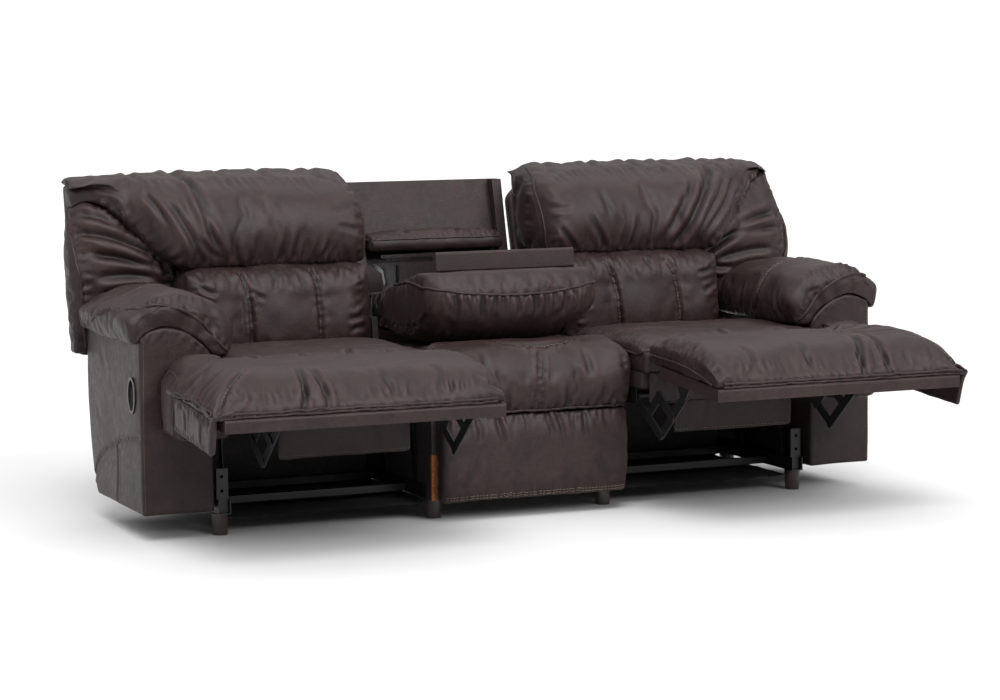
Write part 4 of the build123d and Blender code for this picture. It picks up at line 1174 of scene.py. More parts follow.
head_folds = {
    "left": [
        crease("front", [(826, 958), (815, 945), (806, 910), (797, 880), (786, 852), (770, 800)],
            13, 12, 0.8, 0.6,
               (0.03, 0.5)),
        crease("front", [(832, 935), (820, 900), (808, 860), (790, 805), (764, 752), (752, 722)],
            10, 8, 0.7, -0.4),
        crease("front", [(550, 840), (562, 790), (577, 715)], 9, 5, 0.6, 0.2, (0.6, 0.05)),
        crease("front", [(514, 825), (527, 770), (540, 712)], 8, 4.5, 0.6, 0, (0.6, 0.05)),
        crease("front", [(455, 792), (468, 750), (478, 712)], 8, 4, 0.6, 0, (0.6, 0.05)),
        crease("front", [(418, 785), (442, 740), (460, 712)], 8, 5, 0.6, 0.3, (0.6, 0.05)),
        crease("front", [(405, 776), (416, 740), (428, 711)], 7, 4, 0.6, 0, (0.6, 0.05)),
        crease("front", [(640, 812), (650, 770), (662, 712)], 9, 4, 0.6, -0.2, (0.7, 0.05)),
        crease("front", [(735, 840), (722, 780), (706, 712)], 9, 5, 0.6, 0.2, (0.7, 0.05)),
        crease("front", [(828, 795), (790, 750), (752, 726)], 8, 5, 0.6),
        crease("front", [(905, 905), (872, 840), (842, 780), (822, 722)], 11, 7, 0.7, 0.4),
        crease("front", [(958, 925), (925, 870), (898, 812)], 9, 5, 0.6),
        crease("front", [(336, 880), (372, 868), (420, 862)], 8, 4, 0.5),
        crease("front", [(334, 800), (368, 806), (408, 818)], 8, 4.5, 0.5),
        notch(404, 13, 4), notch(560, 12, 5, 6), notch(700, 12, 4, -8), notch(828, 14, 9, 4),
        notch(960, 11, 5),
    ],
    "right": [
        crease("front", [(400, 845), (420, 800), (452, 745), (470, 712)], 9, 6, 0.7, 0.3,
            (0.5, 0.05)),
        crease("front", [(306, 790), (334, 756), (368, 714)], 8, 6, 0.6, 0, (0.2, 0.05)),
        crease("front", [(543, 832), (532, 775), (519, 712)], 9, 5, 0.6, 0, (0.6, 0.05)),
        crease("front", [(585, 838), (566, 780), (542, 711)], 9, 5, 0.6, -0.3, (0.6, 0.05)),
        crease("front", [(638, 845), (622, 780), (603, 711)], 9, 5, 0.6, 0, (0.6, 0.05)),
        crease("front", [(755, 890), (728, 850), (704, 815), (676, 775), (655, 742), (640, 712)],
            11, 8, 0.7, 0.5),
        crease("front", [(796, 925), (765, 875), (734, 835), (704, 790), (677, 745), (664, 712)],
            11, 8, 0.7, -0.3),
        crease("front", [(892, 946), (850, 912), (810, 870), (772, 820), (742, 775), (712, 736),
            (696, 711)], 13, 11,
               0.8, 0.5, (0.05, 0.1)),
        crease("front", [(928, 935), (886, 897), (846, 855), (812, 812), (780, 770), (748, 726),
            (736, 711)], 12, 9,
               0.7, -0.4),
        crease("front", [(965, 918), (920, 880), (876, 835), (838, 795), (800, 752), (763, 711)],
            11, 8, 0.7, 0.3),
        crease("front", [(996, 898), (952, 868), (911, 825), (872, 788), (835, 748), (790, 711)],
            10, 7, 0.7),
        crease("front", [(455, 905), (470, 850), (480, 800)], 10, 4, 0.5),
        crease("front", [(282, 850), (320, 842), (362, 845)], 8, 4, 0.5),
        notch(360, 12, 4), notch(506, 12, 6, 5), notch(655, 13, 6, -6), notch(760, 12, 6),
        notch(895, 14, 8, 4),
        notch(1010, 11, 4),
    ],
}
for side in ("left", "right"):
    piece, hand = head[side], head[side]["hand"]
    x0, x1 = inner_end[hand], seam_corner[hand]
    slant = [(x, seam_height(hand, x)) for x in np.linspace(x1, 1105, 8)]
    sew(piece, head_folds[side], [
        ("front", [(x0 + 12, 704), (x1, 704)], 88, 30, (22, 75), 5.5, 3.2, 11 + hand),
        ("front", [(x0 + 20, 948), (1000, 950)], -90, 34, (14, 55), 6, 3.2, 21 + hand),
        ("front", slant, 128, 15, (25, 70), 6, 3.6, 31 + hand),
        ("inner", [(560, 722), (580, 930)], 178, 12, (20, 60), 6, 3.2, 41 + hand),
        ("front", [(x0 + 22, 724), (x0 + 22, 936)], 0, 15, (14, 44), 6, 3.6, 43 + hand),
    ], [([(x, back_board(704) - 200, 704) for x in (x0, x1)], 9, 3.5)],
        grain=(3 + hand, 120, 2.4), limit=15)
    surface = surface_of(piece)
    hem = [(x, back_board(z) - 150, z + 9) for x, z in slant]
    stitch(piece, hem, (-4, 4), 11, surface=surface)
    welts[piece.name] = [piping(piece, [
        [(x0 + 18, 470, 712), (x0 + 18, 478, 790), (x0 + 18, 520, 860), (x0 + 20, 590, 930),
            (x0 + 24, 650, 958)]], 3.4)]

# %% [markdown]
# The lumbar cushion is quilted in two channels. The cloth is pulled down on each channel's seam and
# gathers a little on both sides of it.

# %% Lumbar cushions
lumbar_channels = {
    "left": ([(712, 692), (697, 640), (690, 583), (687, 525), (684, 478), (683, 456)],
             [(500, 694), (486, 648), (480, 588), (478, 516), (474, 472), (473, 456)]),
    "right": ([(446, 690), (464, 646), (477, 592), (483, 531), (488, 480), (489, 456)],
              [(650, 688), (670, 644), (683, 583), (690, 522), (693, 475), (694, 456)]),
}
lumbar_folds = {
    "left": [
        crease("front", [(690, 640), (668, 622), (640, 612)], 7, 4),
        crease("front", [(842, 660), (815, 640), (780, 634)], 8, 6),
        crease("front", [(850, 625), (822, 612), (792, 600)], 7, 5),
        crease("front", [(342, 560), (368, 548), (402, 546)], 8, 5),
        crease("front", [(340, 524), (366, 520), (396, 508)], 8, 5),
        crease("front", [(600, 690), (612, 660), (618, 628)], 8, 4),
        crease("front", [(560, 690), (556, 655), (545, 625)], 8, 4),
    ],
    "right": [
        crease("front", [(575, 690), (590, 668), (604, 640)], 8, 5),
        crease("front", [(812, 650), (785, 640), (745, 636)], 8, 6),
        crease("front", [(820, 600), (795, 590), (765, 574)], 8, 5),
        crease("front", [(345, 640), (368, 620), (392, 610)], 8, 5),
        crease("front", [(342, 560), (370, 552), (398, 556)], 7, 4),
        crease("front", [(540, 690), (534, 655), (546, 620)], 8, 4),
    ],
}
for side in ("left", "right"):
    piece, hand = lumbar[side], lumbar[side]["hand"]
    x1 = seam_corner[hand]
    folds = lumbar_folds[side] + [crease("front", line, 7, 6, 0.5, 0,
        (0.02, 0.02)) for line in lumbar_channels[side]]
    gathers = [("front", [(345, 688), (x1 - 14, 688)], -90, 26, (18, 70), 5.5, 3.0, 51 + hand),
               ("front", [(345, 462), (x1 - 14, 462)], 90, 20, (14, 40), 5.5, 2.6, 56 + hand),
               ("front", [(345, 480), (345, 680)], 0, 8, (16, 46), 6, 3.2, 58 + hand),
               ("front", [(x1 - 14, 480), (x1 - 14, 680)], 180, 9, (16, 46), 6, 3.2, 59 + hand)]
    for number, line in enumerate(lumbar_channels[side]):
        for heading in (8, 172):
            gathers.append(("front", line, heading, 9, (12, 34), 5.5, 1.8,
                60 + number * 3 + heading + hand))
    sew(piece, folds, gathers, grain=(7 + hand, 90, 1.8), limit=15)
    surface = surface_of(piece)
    for line in lumbar_channels[side]:
        stitch(piece, [(x, 392, z) for x, z in line], (0,), 10, surface=surface)

# %% [markdown]
# Two long folds cross the wing from its piped edge to the lumbar corner, where all its gathers
# meet. The piping runs up the outer edge and is stitched down beside the cord, on its inner side.

# %% Wings
wing_folds = {
    "left": [
        crease("front", [(1150, 808), (1103, 805), (1049, 792), (995, 769), (939, 738),
            (880, 700)], 13, 13, 0.75, 0.5,
               (0.1, 0.08)),
        crease("front", [(1120, 752), (1088, 746), (1048, 741), (1011, 734), (968, 720),
            (917, 700), (880, 682)], 12, 12,
               0.75, -0.4, (0.2, 0.06)),
        crease("front", [(1110, 680), (1050, 684), (985, 684), (925, 676), (884, 664)], 12, 8, 0.7,
            0.3),
        crease("front", [(1100, 625), (1030, 640), (960, 645), (905, 642)], 12, 7, 0.6),
        crease("front", [(1130, 860), (1080, 850), (1030, 826)], 10, 6, 0.6),
    ],
    "right": [
        crease("front", [(1124, 806), (1106, 800), (1062, 789), (995, 768), (917, 722),
            (850, 686)], 13, 13, 0.75, 0.5,
               (0.1, 0.08)),
        crease("front", [(1130, 760), (1084, 756), (1017, 749), (948, 728), (890, 703),
            (846, 676)], 12, 12, 0.75, -0.4,
               (0.15, 0.06)),
        crease("front", [(1110, 690), (1040, 688), (960, 676), (880, 656)], 12, 8, 0.7, 0.3),
        crease("front", [(876, 645), (910, 636), (960, 640)], 9, 8, 0.7),
        crease("front", [(878, 606), (915, 598), (968, 604)], 9, 8, 0.7),
        crease("front", [(882, 566), (920, 562), (970, 572)], 9, 7, 0.7),
        crease("front", [(888, 528), (925, 528), (975, 540)], 9, 6, 0.7),
    ],
}
wing_edge = [(1133, 700, 925), (1145, 665, 846), (1152, 600, 790), (1149, 562, 727),
    (1142, 552, 650),
             (1136, 552, 560), (1130, 556, 480)]
for side in ("left", "right"):
    piece, hand = wing[side], wing[side]["hand"]
    x1 = seam_corner[hand]
    slant = [(x, seam_height(hand, x) - 6) for x in np.linspace(x1 + 6, 1090, 8)]
    sew(piece, wing_folds[side], [
        ("front", slant, -52, 14, (22, 60), 6, 3.4, 71 + hand),
        ("front", [(1136, 500), (1142, 880)], 182, 26, (16, 52), 6, 3.6, 76 + hand),
        ("front", [(x1 + 8, 520), (x1 + 8, 690)], 0, 9, (24, 70), 6.5, 3.8, 79 + hand),
        ("outer", [(560, 500), (600, 800)], 0, 22, (14, 40), 6, 2.8, 82 + hand),
    ], grain=(12 + hand, 110, 2.2), limit=15)
    welts[piece.name] = [piping(piece, [wing_edge], 4.6, wave=1.4)]
    surface = surface_of(piece)
    stitch(piece, [(x - 13, y - 4, z) for x, y, z in wing_edge[:6]], (0,), 11, surface=surface)
for side in ("left", "right"):
    sew(back_covers[side], grain=(15, 160, 1.2))

# %% [markdown]
# ## Sewing the arms
# The saddle over the arm is edged with a welt that steps in and out, because the cloth was pulled
# tight at some of its tacks and not at others. Gathers stand above and below it. One cross seam
# divides the pad a hand's width behind the front.

# %% Arm pads
arm_welt = [(1156, 470, 566), (1155, 395, 568), (1153, 300, 600), (1152, 215, 622),
    (1148, 132, 626), (1140, 70, 632),
            (1122, 17, 636), (1083, 4, 645), (1050, 0, 641), (1031, -2, 636), (1000, -2, 622),
            (975, -2, 606),
            (950, -2, 588), (934, -1, 566), (905, -1, 530), (888, 0, 512)]
arm_cross = [(1120, 236, 636), (1060, 236, 664), (955, 235, 654), (894, 219, 624), (866, 212, 583),
    (866, 230, 522)]
for side in ("left", "right"):
    piece, hand = arm_pads[side], arm_pads[side]["hand"]
    sew(piece, [
        crease("top", [(930, 216), (1000, 214), (1060, 222), (1130, 226)], 9, 5, 0.5, 0,
            (0.05, 0.05)),
        crease("inner", [(232, 520), (214, 560), (212, 600), (222, 640)], 9, 6, 0.6, 0,
            (0.05, 0.2)),
        crease("inner", [(60, 520), (84, 556), (96, 604)], 9, 6, 0.6),
        crease("inner", [(110, 516), (128, 560), (132, 600)], 9, 5, 0.6),
        crease("inner", [(330, 516), (318, 566), (322, 612)], 9, 6, 0.6),
        crease("inner", [(400, 520), (412, 570), (404, 620)], 9, 5, 0.6),
        crease("inner", [(470, 530), (462, 580), (474, 620)], 9, 5, 0.6),
    ], [
        ("outer", [(490, 552), (395, 562), (300, 592), (215, 612), (132, 618), (30, 626)], 90, 30,
            (14, 34), 5.5, 3.8, 91 + hand),
        ("front", [(1120, 640), (1083, 650), (1031, 640), (975, 612), (934, 570), (895, 520)], 120,
            22, (14, 38), 5.5, 4, 94 + hand),
        ("top", [(930, 14), (1110, 14)], 90, 20, (16, 44), 6, 3.6, 96 + hand),
        ("inner", [(20, 508), (535, 512)], 90, 26, (14, 40), 6, 3.2, 97 + hand),
        ("top", [(900, 236), (1120, 238)], 92, 14, (14, 34), 6, 2.6, 98 + hand),
    ], grain=(18 + hand, 110, 2.4), limit=14)
    welts[piece.name] = [piping(piece, [arm_welt], 4.8, wave=2.0)]
    surface = surface_of(piece)
    stitch(piece, arm_cross[:5], (-4, 4), 10, surface=surface)

# %% Arm bodies
side_arc = [(1133, 500, 96), (1132, 471, 139), (1134, 397, 192), (1136, 279, 235),
    (1136, 210, 255), (1135, 158, 267),
            (1131, 60, 281), (1128, 14, 287)]
side_upright = [(1135, 221, 254), (1136, 224, 172), (1132, 240, 110), (1128, 252, 80)]
for side in ("left", "right"):
    piece, hand = arm_bodies[side], arm_bodies[side]["hand"]
    sew(piece, [
        crease("outer", [(y, z) for _, y, z in side_arc], 7, 4, 0.3, 0, (0.02, 0.02)),
        crease("outer", [(y, z) for _, y, z in side_upright], 7, 3.5, 0.3, 0, (0.02, 0.02)),
        crease("outer", [(400, 520), (360, 470), (300, 430)], 18, 1.4, 0.5),
        crease("outer", [(440, 330), (400, 300), (330, 290)], 16, 1.4, 0.5),
    ], [
        ("outer", [(20, 612), (395, 556)], -90, 20, (16, 50), 7, 3, 101 + hand),
        ("front", [(1120, 560), (1060, 572), (1010, 560), (945, 512)], -70, 12, (14, 34), 6, 2.6,
            103 + hand),
        ("outer", [(y, z) for _, y, z in side_arc], -60, 14, (10, 26), 6, 1.8, 105 + hand),
    ], grain=(24 + hand, 170, 1.2), limit=10)
    surface = surface_of(piece)
    stitch(piece, side_arc, (-4, 4), 10, surface=surface)
    stitch(piece, side_upright, (-4, 4), 10, surface=surface)
    stitch(piece, [(1124, -1, 90), (1124, -1, 300), (1120, -1, 545)], (0,), 11, surface=surface)
print("arms sewn")

# %% [markdown]
# ## Sewing the seats
# The seat pad has boxing round it: its top is one panel, gathered a little into the front seam, with
# a crease that runs from the middle to the front edge where people sit down. The block in front of
# the arm is sewn on at a deep seam, and small folds run from that seam in both directions.

# %% Seat pads and their blocks
seat_folds = {
    "left": [
        crease("top", [(535, 30), (548, -30), (564, -86), (576, -138)], 9, 7, 0.6, 0.3,
            (0.3, 0.03)),
        crease("top", [(425, -140), (440, -90), (432, -30)], 9, 5, 0.6),
        crease("top", [(700, -140), (690, -80), (706, -10)], 10, 5, 0.6),
        crease("top", [(820, -140), (836, -84), (828, -20)], 9, 5, 0.6),
        crease("top", [(340, 60), (420, 76), (520, 70)], 16, 4, 0.4),
        crease("top", [(600, 150), (720, 170), (860, 150)], 18, 4, 0.4),
    ],
    "right": [
        crease("top", [(610, 20), (600, -50), (606, -136)], 9, 6, 0.6, 0.3, (0.3, 0.03)),
        crease("top", [(470, -140), (462, -86), (474, -20)], 9, 5, 0.6),
        crease("top", [(770, -140), (782, -70), (770, 0)], 10, 5, 0.6),
        crease("top", [(380, 90), (470, 104), (580, 96)], 16, 4, 0.4),
        crease("top", [(640, 180), (760, 190), (880, 170)], 18, 4, 0.4),
    ],
}
for side in ("left", "right"):
    piece, hand = seats[side], seats[side]["hand"]
    sew(piece, seat_folds[side], [
        ("top", [(325, -132), (915, -132)], 90, 40, (16, 60), 6, 3.0, 111 + hand),
        ("front", [(325, 404), (915, 404)], 90, 30, (14, 40), 6, 2.8, 113 + hand),
        ("top", [(322, -120), (322, 360)], 0, 18, (16, 50), 6, 3.0, 115 + hand),
        ("top", [(918, -130), (918, 0)], 180, 9, (18, 60), 6.5, 3.6, 117 + hand),
    ], grain=(27 + hand, 150, 3.0), limit=13)
    welts[piece.name] = [piping(piece, [
        [(922, -140, 470), (600, -144, 470), (326, -140, 468), (310, -124, 460), (306, 40, 458),
            (306, 370, 456)]], 3.8)]
    block = seat_blocks[side]
    sew(block, [
        crease("front", [(935, 452), (972, 425), (1000, 380)], 9, 5, 0.6, 0.3, (0.05, 0.5)),
        crease("front", [(932, 400), (960, 380), (978, 340)], 9, 5, 0.6, 0, (0.05, 0.5)),
        crease("top", [(934, -60), (980, -66), (1040, -50)], 10, 5, 0.6, 0, (0.05, 0.5)),
        crease("front", [(1070, 440), (1046, 400), (1040, 350)], 9, 4, 0.6),
    ], [
        ("top", [(930, -130), (930, -14)], 0, 9, (18, 56), 6.5, 4, 121 + hand),
        ("front", [(930, 300), (930, 486)], 0, 12, (16, 50), 6.5, 3.8, 123 + hand),
        ("front", [(936, 300), (1080, 300)], 90, 10, (16, 46), 6, 3.6, 125 + hand),
        ("outer", [(-20, 320), (-20, 470)], 180, 10, (12, 34), 6, 3.4, 127 + hand),
        ("top", [(1086, -120), (1086, -20)], 180, 8, (12, 34), 6, 3.2, 129 + hand),
    ], grain=(31 + hand, 80, 2.0), limit=13)
    welts[block.name] = [piping(block, [
        [(926, -140, 300), (926, -143, 400), (928, -138, 470), (932, -110, 500), (932, -60, 508),
            (930, -12, 486)],
        [(1078, -118, 306), (1076, -126, 380), (1066, -126, 448), (1068, -76, 474),
            (1075, -26, 440), (1078, -22, 340)]],
        3.2, lift=0, wave=0.4)]

# %% Seat noses and hanging fronts
for side in ("left", "right"):
    nose, front = seat_noses[side], seat_fronts[side]
    hand = nose["hand"]
    sew(nose, [crease("front", [(430, 396), (436, 350), (428, 314)], 8, 3.5),
        crease("front", [(690, 396), (684, 352), (694, 314)], 8, 3.5)],
        [("front", [(326, 394), (852, 394)], -90, 34, (12, 40), 5.5, 2.4, 131 + hand),
         ("front", [(326, 316), (852, 316)], 90, 30, (10, 30), 5.5, 2.0, 133 + hand)],
         grain=(34 + hand, 90, 0.8), limit=4)
    sew(front, [crease("front", [(500, 392), (506, 320), (498, 240)], 12, 3)],
        [("front", [(412, 392), (782, 392)], -90, 16, (12, 40), 6, 2.2, 135 + hand)],
        grain=(36 + hand, 110, 1.2), limit=6)
    stitch(front, [(412, -132, 232), (782, -132, 232)], (0,), 11)
    welts[nose.name] = [piping(nose, [[(324, -142, 398), (600, -145, 399), (854, -142, 398)],
                                      [(324, -141, 315), (600, -143, 314), (854, -141, 315)]], 2.6,
                                      lift=0.1)]

# %% [markdown]
# ## Sewing the footrests
# The top of each footrest is pulled over its front edge to a double line of piping. At the outer
# corner the cover is mitred: one seam comes from the corner and splits into long gathers that fan
# out over the pad. Two sharp pleats turn over the front edge a hand's width inside that corner.

# %% Footrest pads
rest_folds = {
    "left": [
        crease("top", [(1092, -548), (1072, -530), (1050, -512), (1022, -491), (972, -437)], 9, 8,
            0.7, 0.4, (0.03, 0.4)),
        crease("top", [(840, -420), (846, -470), (850, -498), (857, -548)], 9, 8, 0.7, 0.4,
            (0.4, 0.03)),
        crease("top", [(808, -426), (807, -470), (806, -502), (798, -548)], 9, 7, 0.7, -0.3,
            (0.4, 0.03)),
        crease("front", [(850, 470), (860, 440), (872, 408)], 8, 6, 0.6, 0, (0.03, 0.1)),
        crease("front", [(800, 470), (798, 440), (804, 408)], 8, 6, 0.6, 0, (0.03, 0.1)),
        crease("top", [(1100, -180), (1060, -200), (1010, -190)], 9, 5, 0.6),
        crease("top", [(1102, -300), (1064, -312), (1020, -300)], 9, 5, 0.6),
        crease("top", [(1104, -400), (1070, -410), (1024, -396)], 9, 5, 0.6),
        crease("top", [(480, -550), (474, -500), (486, -440)], 9, 4, 0.6),
        crease("top", [(620, -550), (630, -490), (622, -440)], 9, 4, 0.6),
        crease("top", [(330, -300), (400, -312), (480, -306)], 14, 4, 0.4),
        crease("top", [(560, -240), (700, -262), (820, -250)], 18, 4, 0.4),
    ],
    "right": [
        crease("top", [(799, -366), (868, -310), (930, -250), (1004, -150)], 9, 7, 0.7, 0.4,
            (0.06, 0.3)),
        crease("top", [(802, -376), (880, -352), (960, -330), (1050, -300)], 9, 6, 0.7, 0,
            (0.06, 0.4)),
        crease("top", [(800, -356), (846, -280), (880, -210), (900, -170)], 9, 6, 0.7, -0.3,
            (0.06, 0.3)),
        crease("top", [(810, -386), (900, -400), (980, -412), (1070, -402)], 9, 5, 0.7, 0,
            (0.06, 0.4)),
        crease("top", [(810, -410), (806, -460), (789, -515), (775, -552)], 9, 8, 0.7, 0.4,
            (0.3, 0.03)),
        crease("top", [(854, -410), (858, -466), (856, -512), (857, -552)], 9, 7, 0.7, -0.3,
            (0.3, 0.03)),
        crease("front", [(776, 470), (774, 440), (772, 408)], 8, 6, 0.6, 0, (0.03, 0.1)),
        crease("front", [(856, 470), (852, 440), (857, 408)], 8, 6, 0.6, 0, (0.03, 0.1)),
        crease("top", [(310, -326), (330, -340), (352, -344)], 7, 5, 0.6),
        crease("top", [(312, -400), (330, -404), (360, -408)], 7, 5, 0.6),
        crease("top", [(440, -550), (446, -500), (436, -440)], 9, 4, 0.6),
        crease("top", [(620, -550), (612, -500), (624, -430)], 9, 4, 0.6),
        crease("top", [(400, -260), (520, -276), (640, -262)], 16, 4, 0.4),
    ],
}
rest_edge = [(1106, -182, 428), (1101, -264, 433), (1104, -330, 427), (1100, -391, 430),
    (1106, -450, 422), (1106, -506, 424),
             (1102, -552, 412)]
for side in ("left", "right"):
    piece, hand = rests[side], rests[side]["hand"]
    sew(piece, rest_folds[side], [
        ("top", [(326, -552), (1090, -552)], 90, 46, (16, 54), 6, 3.4, 141 + hand),
        ("front", [(326, 404), (1080, 404)], 90, 46, (12, 34), 5.5, 3.2, 143 + hand),
        ("top", [(1098, -540), (1098, -180)], 180, 24, (16, 52), 6.5, 4.2, 145 + hand),
        ("top", [(318, -540), (318, -180)], 0, 18, (14, 40), 6, 3.2, 147 + hand),
        ("top", [(330, -172), (1080, -172)], -90, 30, (14, 40), 6, 2.8, 149 + hand),
        ("outer", [(-540, 404), (-180, 428)], 90, 16, (8, 24), 5, 2.6, 151 + hand),
    ], grain=(41 + hand, 140, 3.0), limit=13)
    surface = surface_of(piece)
    welts[piece.name] = [piping(piece, [
        [(330, -572, 402), (600, -574, 402), (900, -574, 402), (1092, -566, 402)],
        [(330, -576, 413), (600, -579, 413), (900, -579, 413), (1088, -570, 413)],
        rest_edge, [(310, -540, 408), (308, -420, 440), (308, -300, 450), (308, -180, 456)]], 3.6,
        wave=0.7)]
    stitch(piece, [(1088, -546, 412), (1072, -530, 434), (1050, -512, 461), (1022, -491, 483),
        (980, -444, 500)],
           (-4, 4), 10, surface=surface)
    stitch(piece, [(x - 12, y, z + 6) for x, y, z in rest_edge], (0,), 10, surface=surface)
    sew(rest_flaps[side], [crease("outer", [(-480, 390), (-470, 350), (-478, 315)], 8, 4),
                           crease("outer", [(-330, 410), (-340, 370), (-332, 330)], 8, 4)],
        [("outer", [(-545, 392), (-245, 420)], -90, 22, (12, 40), 6, 3.4, 153 + hand),
         ("outer", [(-520, 314), (-240, 338)], 90, 16, (10, 30), 6, 2.8, 155 + hand)],
         grain=(44 + hand, 90, 1.4), limit=7)
    stitch(rest_flaps[side], [(1110, -530, 318), (1112, -390, 324), (1110, -240, 342)], (0,), 10)

# %% [markdown]
# ## Sewing the centre
# The seat of the centre unit is one pad with a stitched T: one seam follows the top edge of its
# nose and a twin seam runs down its middle. The panel below hangs from a gathered welt and ends in
# a double-stitched hem. The console's pillow is boxed: its upper panel is flat, and under its welt
# the cloth is gathered all the way round.

# %% Centre seat, panel, pillow and lid
tee = [(-284, 40, 486), (-200, 50, 487), (-127, 40, 489), (-82, -4, 485), (-3, -30, 480),
    (94, -24, 481), (160, 20, 487),
       (212, 40, 487), (284, 46, 486)]
sew(centre_seat, [
    crease("top", [(x, y) for x, y, _ in tee], 9, 7, 0.5, 0, (0.02, 0.02)),
    crease("front", [(18, 478), (6, 435), (-2, 379), (-9, 331), (-10, 308)], 6, 5, 0.4, 0,
        (0.02, 0.02)),
    crease("front", [(31, 478), (19, 430), (11, 379), (6, 329), (5, 308)], 6, 5, 0.4, 0,
        (0.02, 0.02)),
    crease("front", [(-150, 480), (-158, 430), (-150, 380)], 10, 4),
    crease("front", [(150, 480), (160, 430), (154, 385)], 10, 4),
    crease("front", [(-210, 312), (-216, 350), (-206, 390)], 9, 5, 0.6, 0, (0.03, 0.5)),
    crease("front", [(-90, 312), (-96, 352), (-88, 384)], 9, 5, 0.6, 0, (0.03, 0.5)),
    crease("front", [(96, 312), (90, 352), (98, 390)], 9, 5, 0.6, 0, (0.03, 0.5)),
    crease("front", [(196, 312), (204, 350), (196, 384)], 9, 5, 0.6, 0, (0.03, 0.5)),
], [
    ("front", [(-278, 309), (278, 309)], 90, 38, (14, 52), 6, 3.6, 161),
    ("top", [(x, y - 3) for x, y, _ in tee], -90, 22, (12, 40), 6, 3.0, 163),
    ("front", [(-280, 330), (-280, 450)], 0, 8, (14, 40), 6, 3.2, 165),
    ("front", [(280, 330), (280, 450)], 180, 8, (14, 40), 6, 3.2, 167),
    ("front", [(0, 320), (10, 470)], 180, 9, (12, 36), 6, 3.0, 168),
    ("front", [(0, 320), (10, 470)], 0, 9, (12, 36), 6, 3.0, 169),
], grain=(51, 120, 2.4), limit=13)
surface = surface_of(centre_seat)
stitch(centre_seat, tee, (-4, 4), 10, surface=surface)
welts[centre_seat.name] = [piping(centre_seat,
    [[(-286, -64, 304), (-200, -72, 303), (0, -74, 303), (200, -72, 303),
                                                 (286, -64, 304)]], 4.0)]
sew(centre_panel, [
    crease("front", [(31, 298), (40, 261), (50, 222)], 9, 5, 0.6, 0.3, (0.03, 0.5)),
    crease("front", [(64, 293), (73, 250), (88, 190)], 9, 5, 0.6, 0, (0.03, 0.5)),
    crease("front", [(-120, 294), (-112, 240), (-104, 190)], 9, 4.5, 0.6, 0, (0.03, 0.5)),
    crease("front", [(-180, 294), (-176, 250), (-184, 214)], 9, 4.5, 0.6, 0, (0.03, 0.5)),
    crease("front", [(150, 294), (146, 250), (156, 206)], 9, 4.5, 0.6, 0, (0.03, 0.5)),
    crease("front", [(-240, 90), (-200, 140), (-190, 190)], 14, 3, 0.5),
    crease("front", [(230, 90), (196, 130), (190, 180)], 14, 3, 0.5),
], [("front", [(-276, 294), (276, 294)], -90, 38, (14, 54), 6, 3.2, 171),
    ("front", [(-276, 72), (276, 72)], 90, 26, (10, 30), 6, 2.0, 173)],
    [([(-280, -78, 72), (0, -84, 72), (280, -78, 72)], 6, 2.4)], grain=(54, 120, 2.0), limit=8)
stitch(centre_panel, [(-276, -76, 64), (0, -84, 64), (276, -76, 64)], (-2, 6), 10)
roll_welt = [(-270, 340, 648), (-272, 250, 656), (-270, 150, 656), (-254, 70, 646),
    (-192, 38, 637), (-110, 26, 631),
             (-30, 20, 627), (55, 22, 629), (120, 28, 633), (189, 40, 641), (238, 66, 647),
             (243, 130, 654)]
end_arc = [(60, 600), (110, 556), (200, 534), (320, 530), (440, 540)]
sew(roll, [
    crease("front", [(-200, 628), (-196, 590), (-204, 560)], 8, 5, 0.6, 0.3, (0.03, 0.5)),
    crease("front", [(-120, 624), (-118, 580), (-108, 540)], 8, 5, 0.6, 0, (0.03, 0.5)),
    crease("front", [(40, 622), (44, 580), (36, 545)], 8, 5, 0.6, 0, (0.03, 0.5)),
    crease("front", [(140, 626), (134, 590), (142, 556)], 8, 5, 0.6, 0, (0.03, 0.5)),
    crease("rear", [(-150, 600), (-140, 560), (-150, 520)], 10, 4),
    crease("rear", [(130, 600), (140, 560), (130, 520)], 10, 4),
], [
    ("front", [(-236, 634), (0, 622), (236, 634)], -90, 44, (30, 78), 6, 4.6, 181),
    ("front", [(-240, 500), (0, 484), (220, 500)], 90, 34, (16, 46), 6, 3.0, 183),
    ("front", [(-240, 650), (240, 650)], 90, 26, (8, 22), 5, 1.8, 185),
    ("inner", end_arc, -66, 17, (16, 46), 6, 4.0, 187),
    ("outer", end_arc, -66, 17, (16, 46), 6, 4.0, 189),
], [(roll_welt, 8, 4.5), ([(-272, y, z) for y, z in end_arc], 7, 3.5)], grain=(57, 120, 2.0),
limit=12)
welts[roll.name] = [piping(roll, [roll_welt], 4.0, wave=0.6)]
sew(lid, [crease("top", [(-90, 660), (-94, 700), (-88, 730)], 8, 4),
    crease("top", [(70, 660), (76, 700), (68, 730)], 8, 4),
          crease("top", [(150, 664), (144, 700), (152, 730)], 8, 4)],
    [("top", [(-206, 658), (206, 658)], 90, 26, (8, 26), 5, 2.6, 195),
     ("front", [(-206, 760), (206, 760)], -90, 26, (6, 18), 5, 2.2, 197)], grain=(60, 70, 1.6),
     limit=6)
welts[lid.name] = [piping(lid, [[(-211, 706, 752), (-210, 656, 748), (-170, 646, 752),
    (0, 644, 754), (170, 646, 752),
                                 (210, 656, 748), (211, 706, 752)]], 3.0, lift=0.1)]
print("centre sewn")

# %% [markdown]
# ## Riding and standing in
# Every cover moves with the body that carries it and stands for the CAD solid that it hides.

# %% Bodies
# its fourth tone is the painted highlight on fold ridges, which shows only where a fold depth is stored
thread = brushed_microfibre("nylon_thread", "#564b43", "#665a50", "#766a5e", "#857869", (0.35, 0.5))


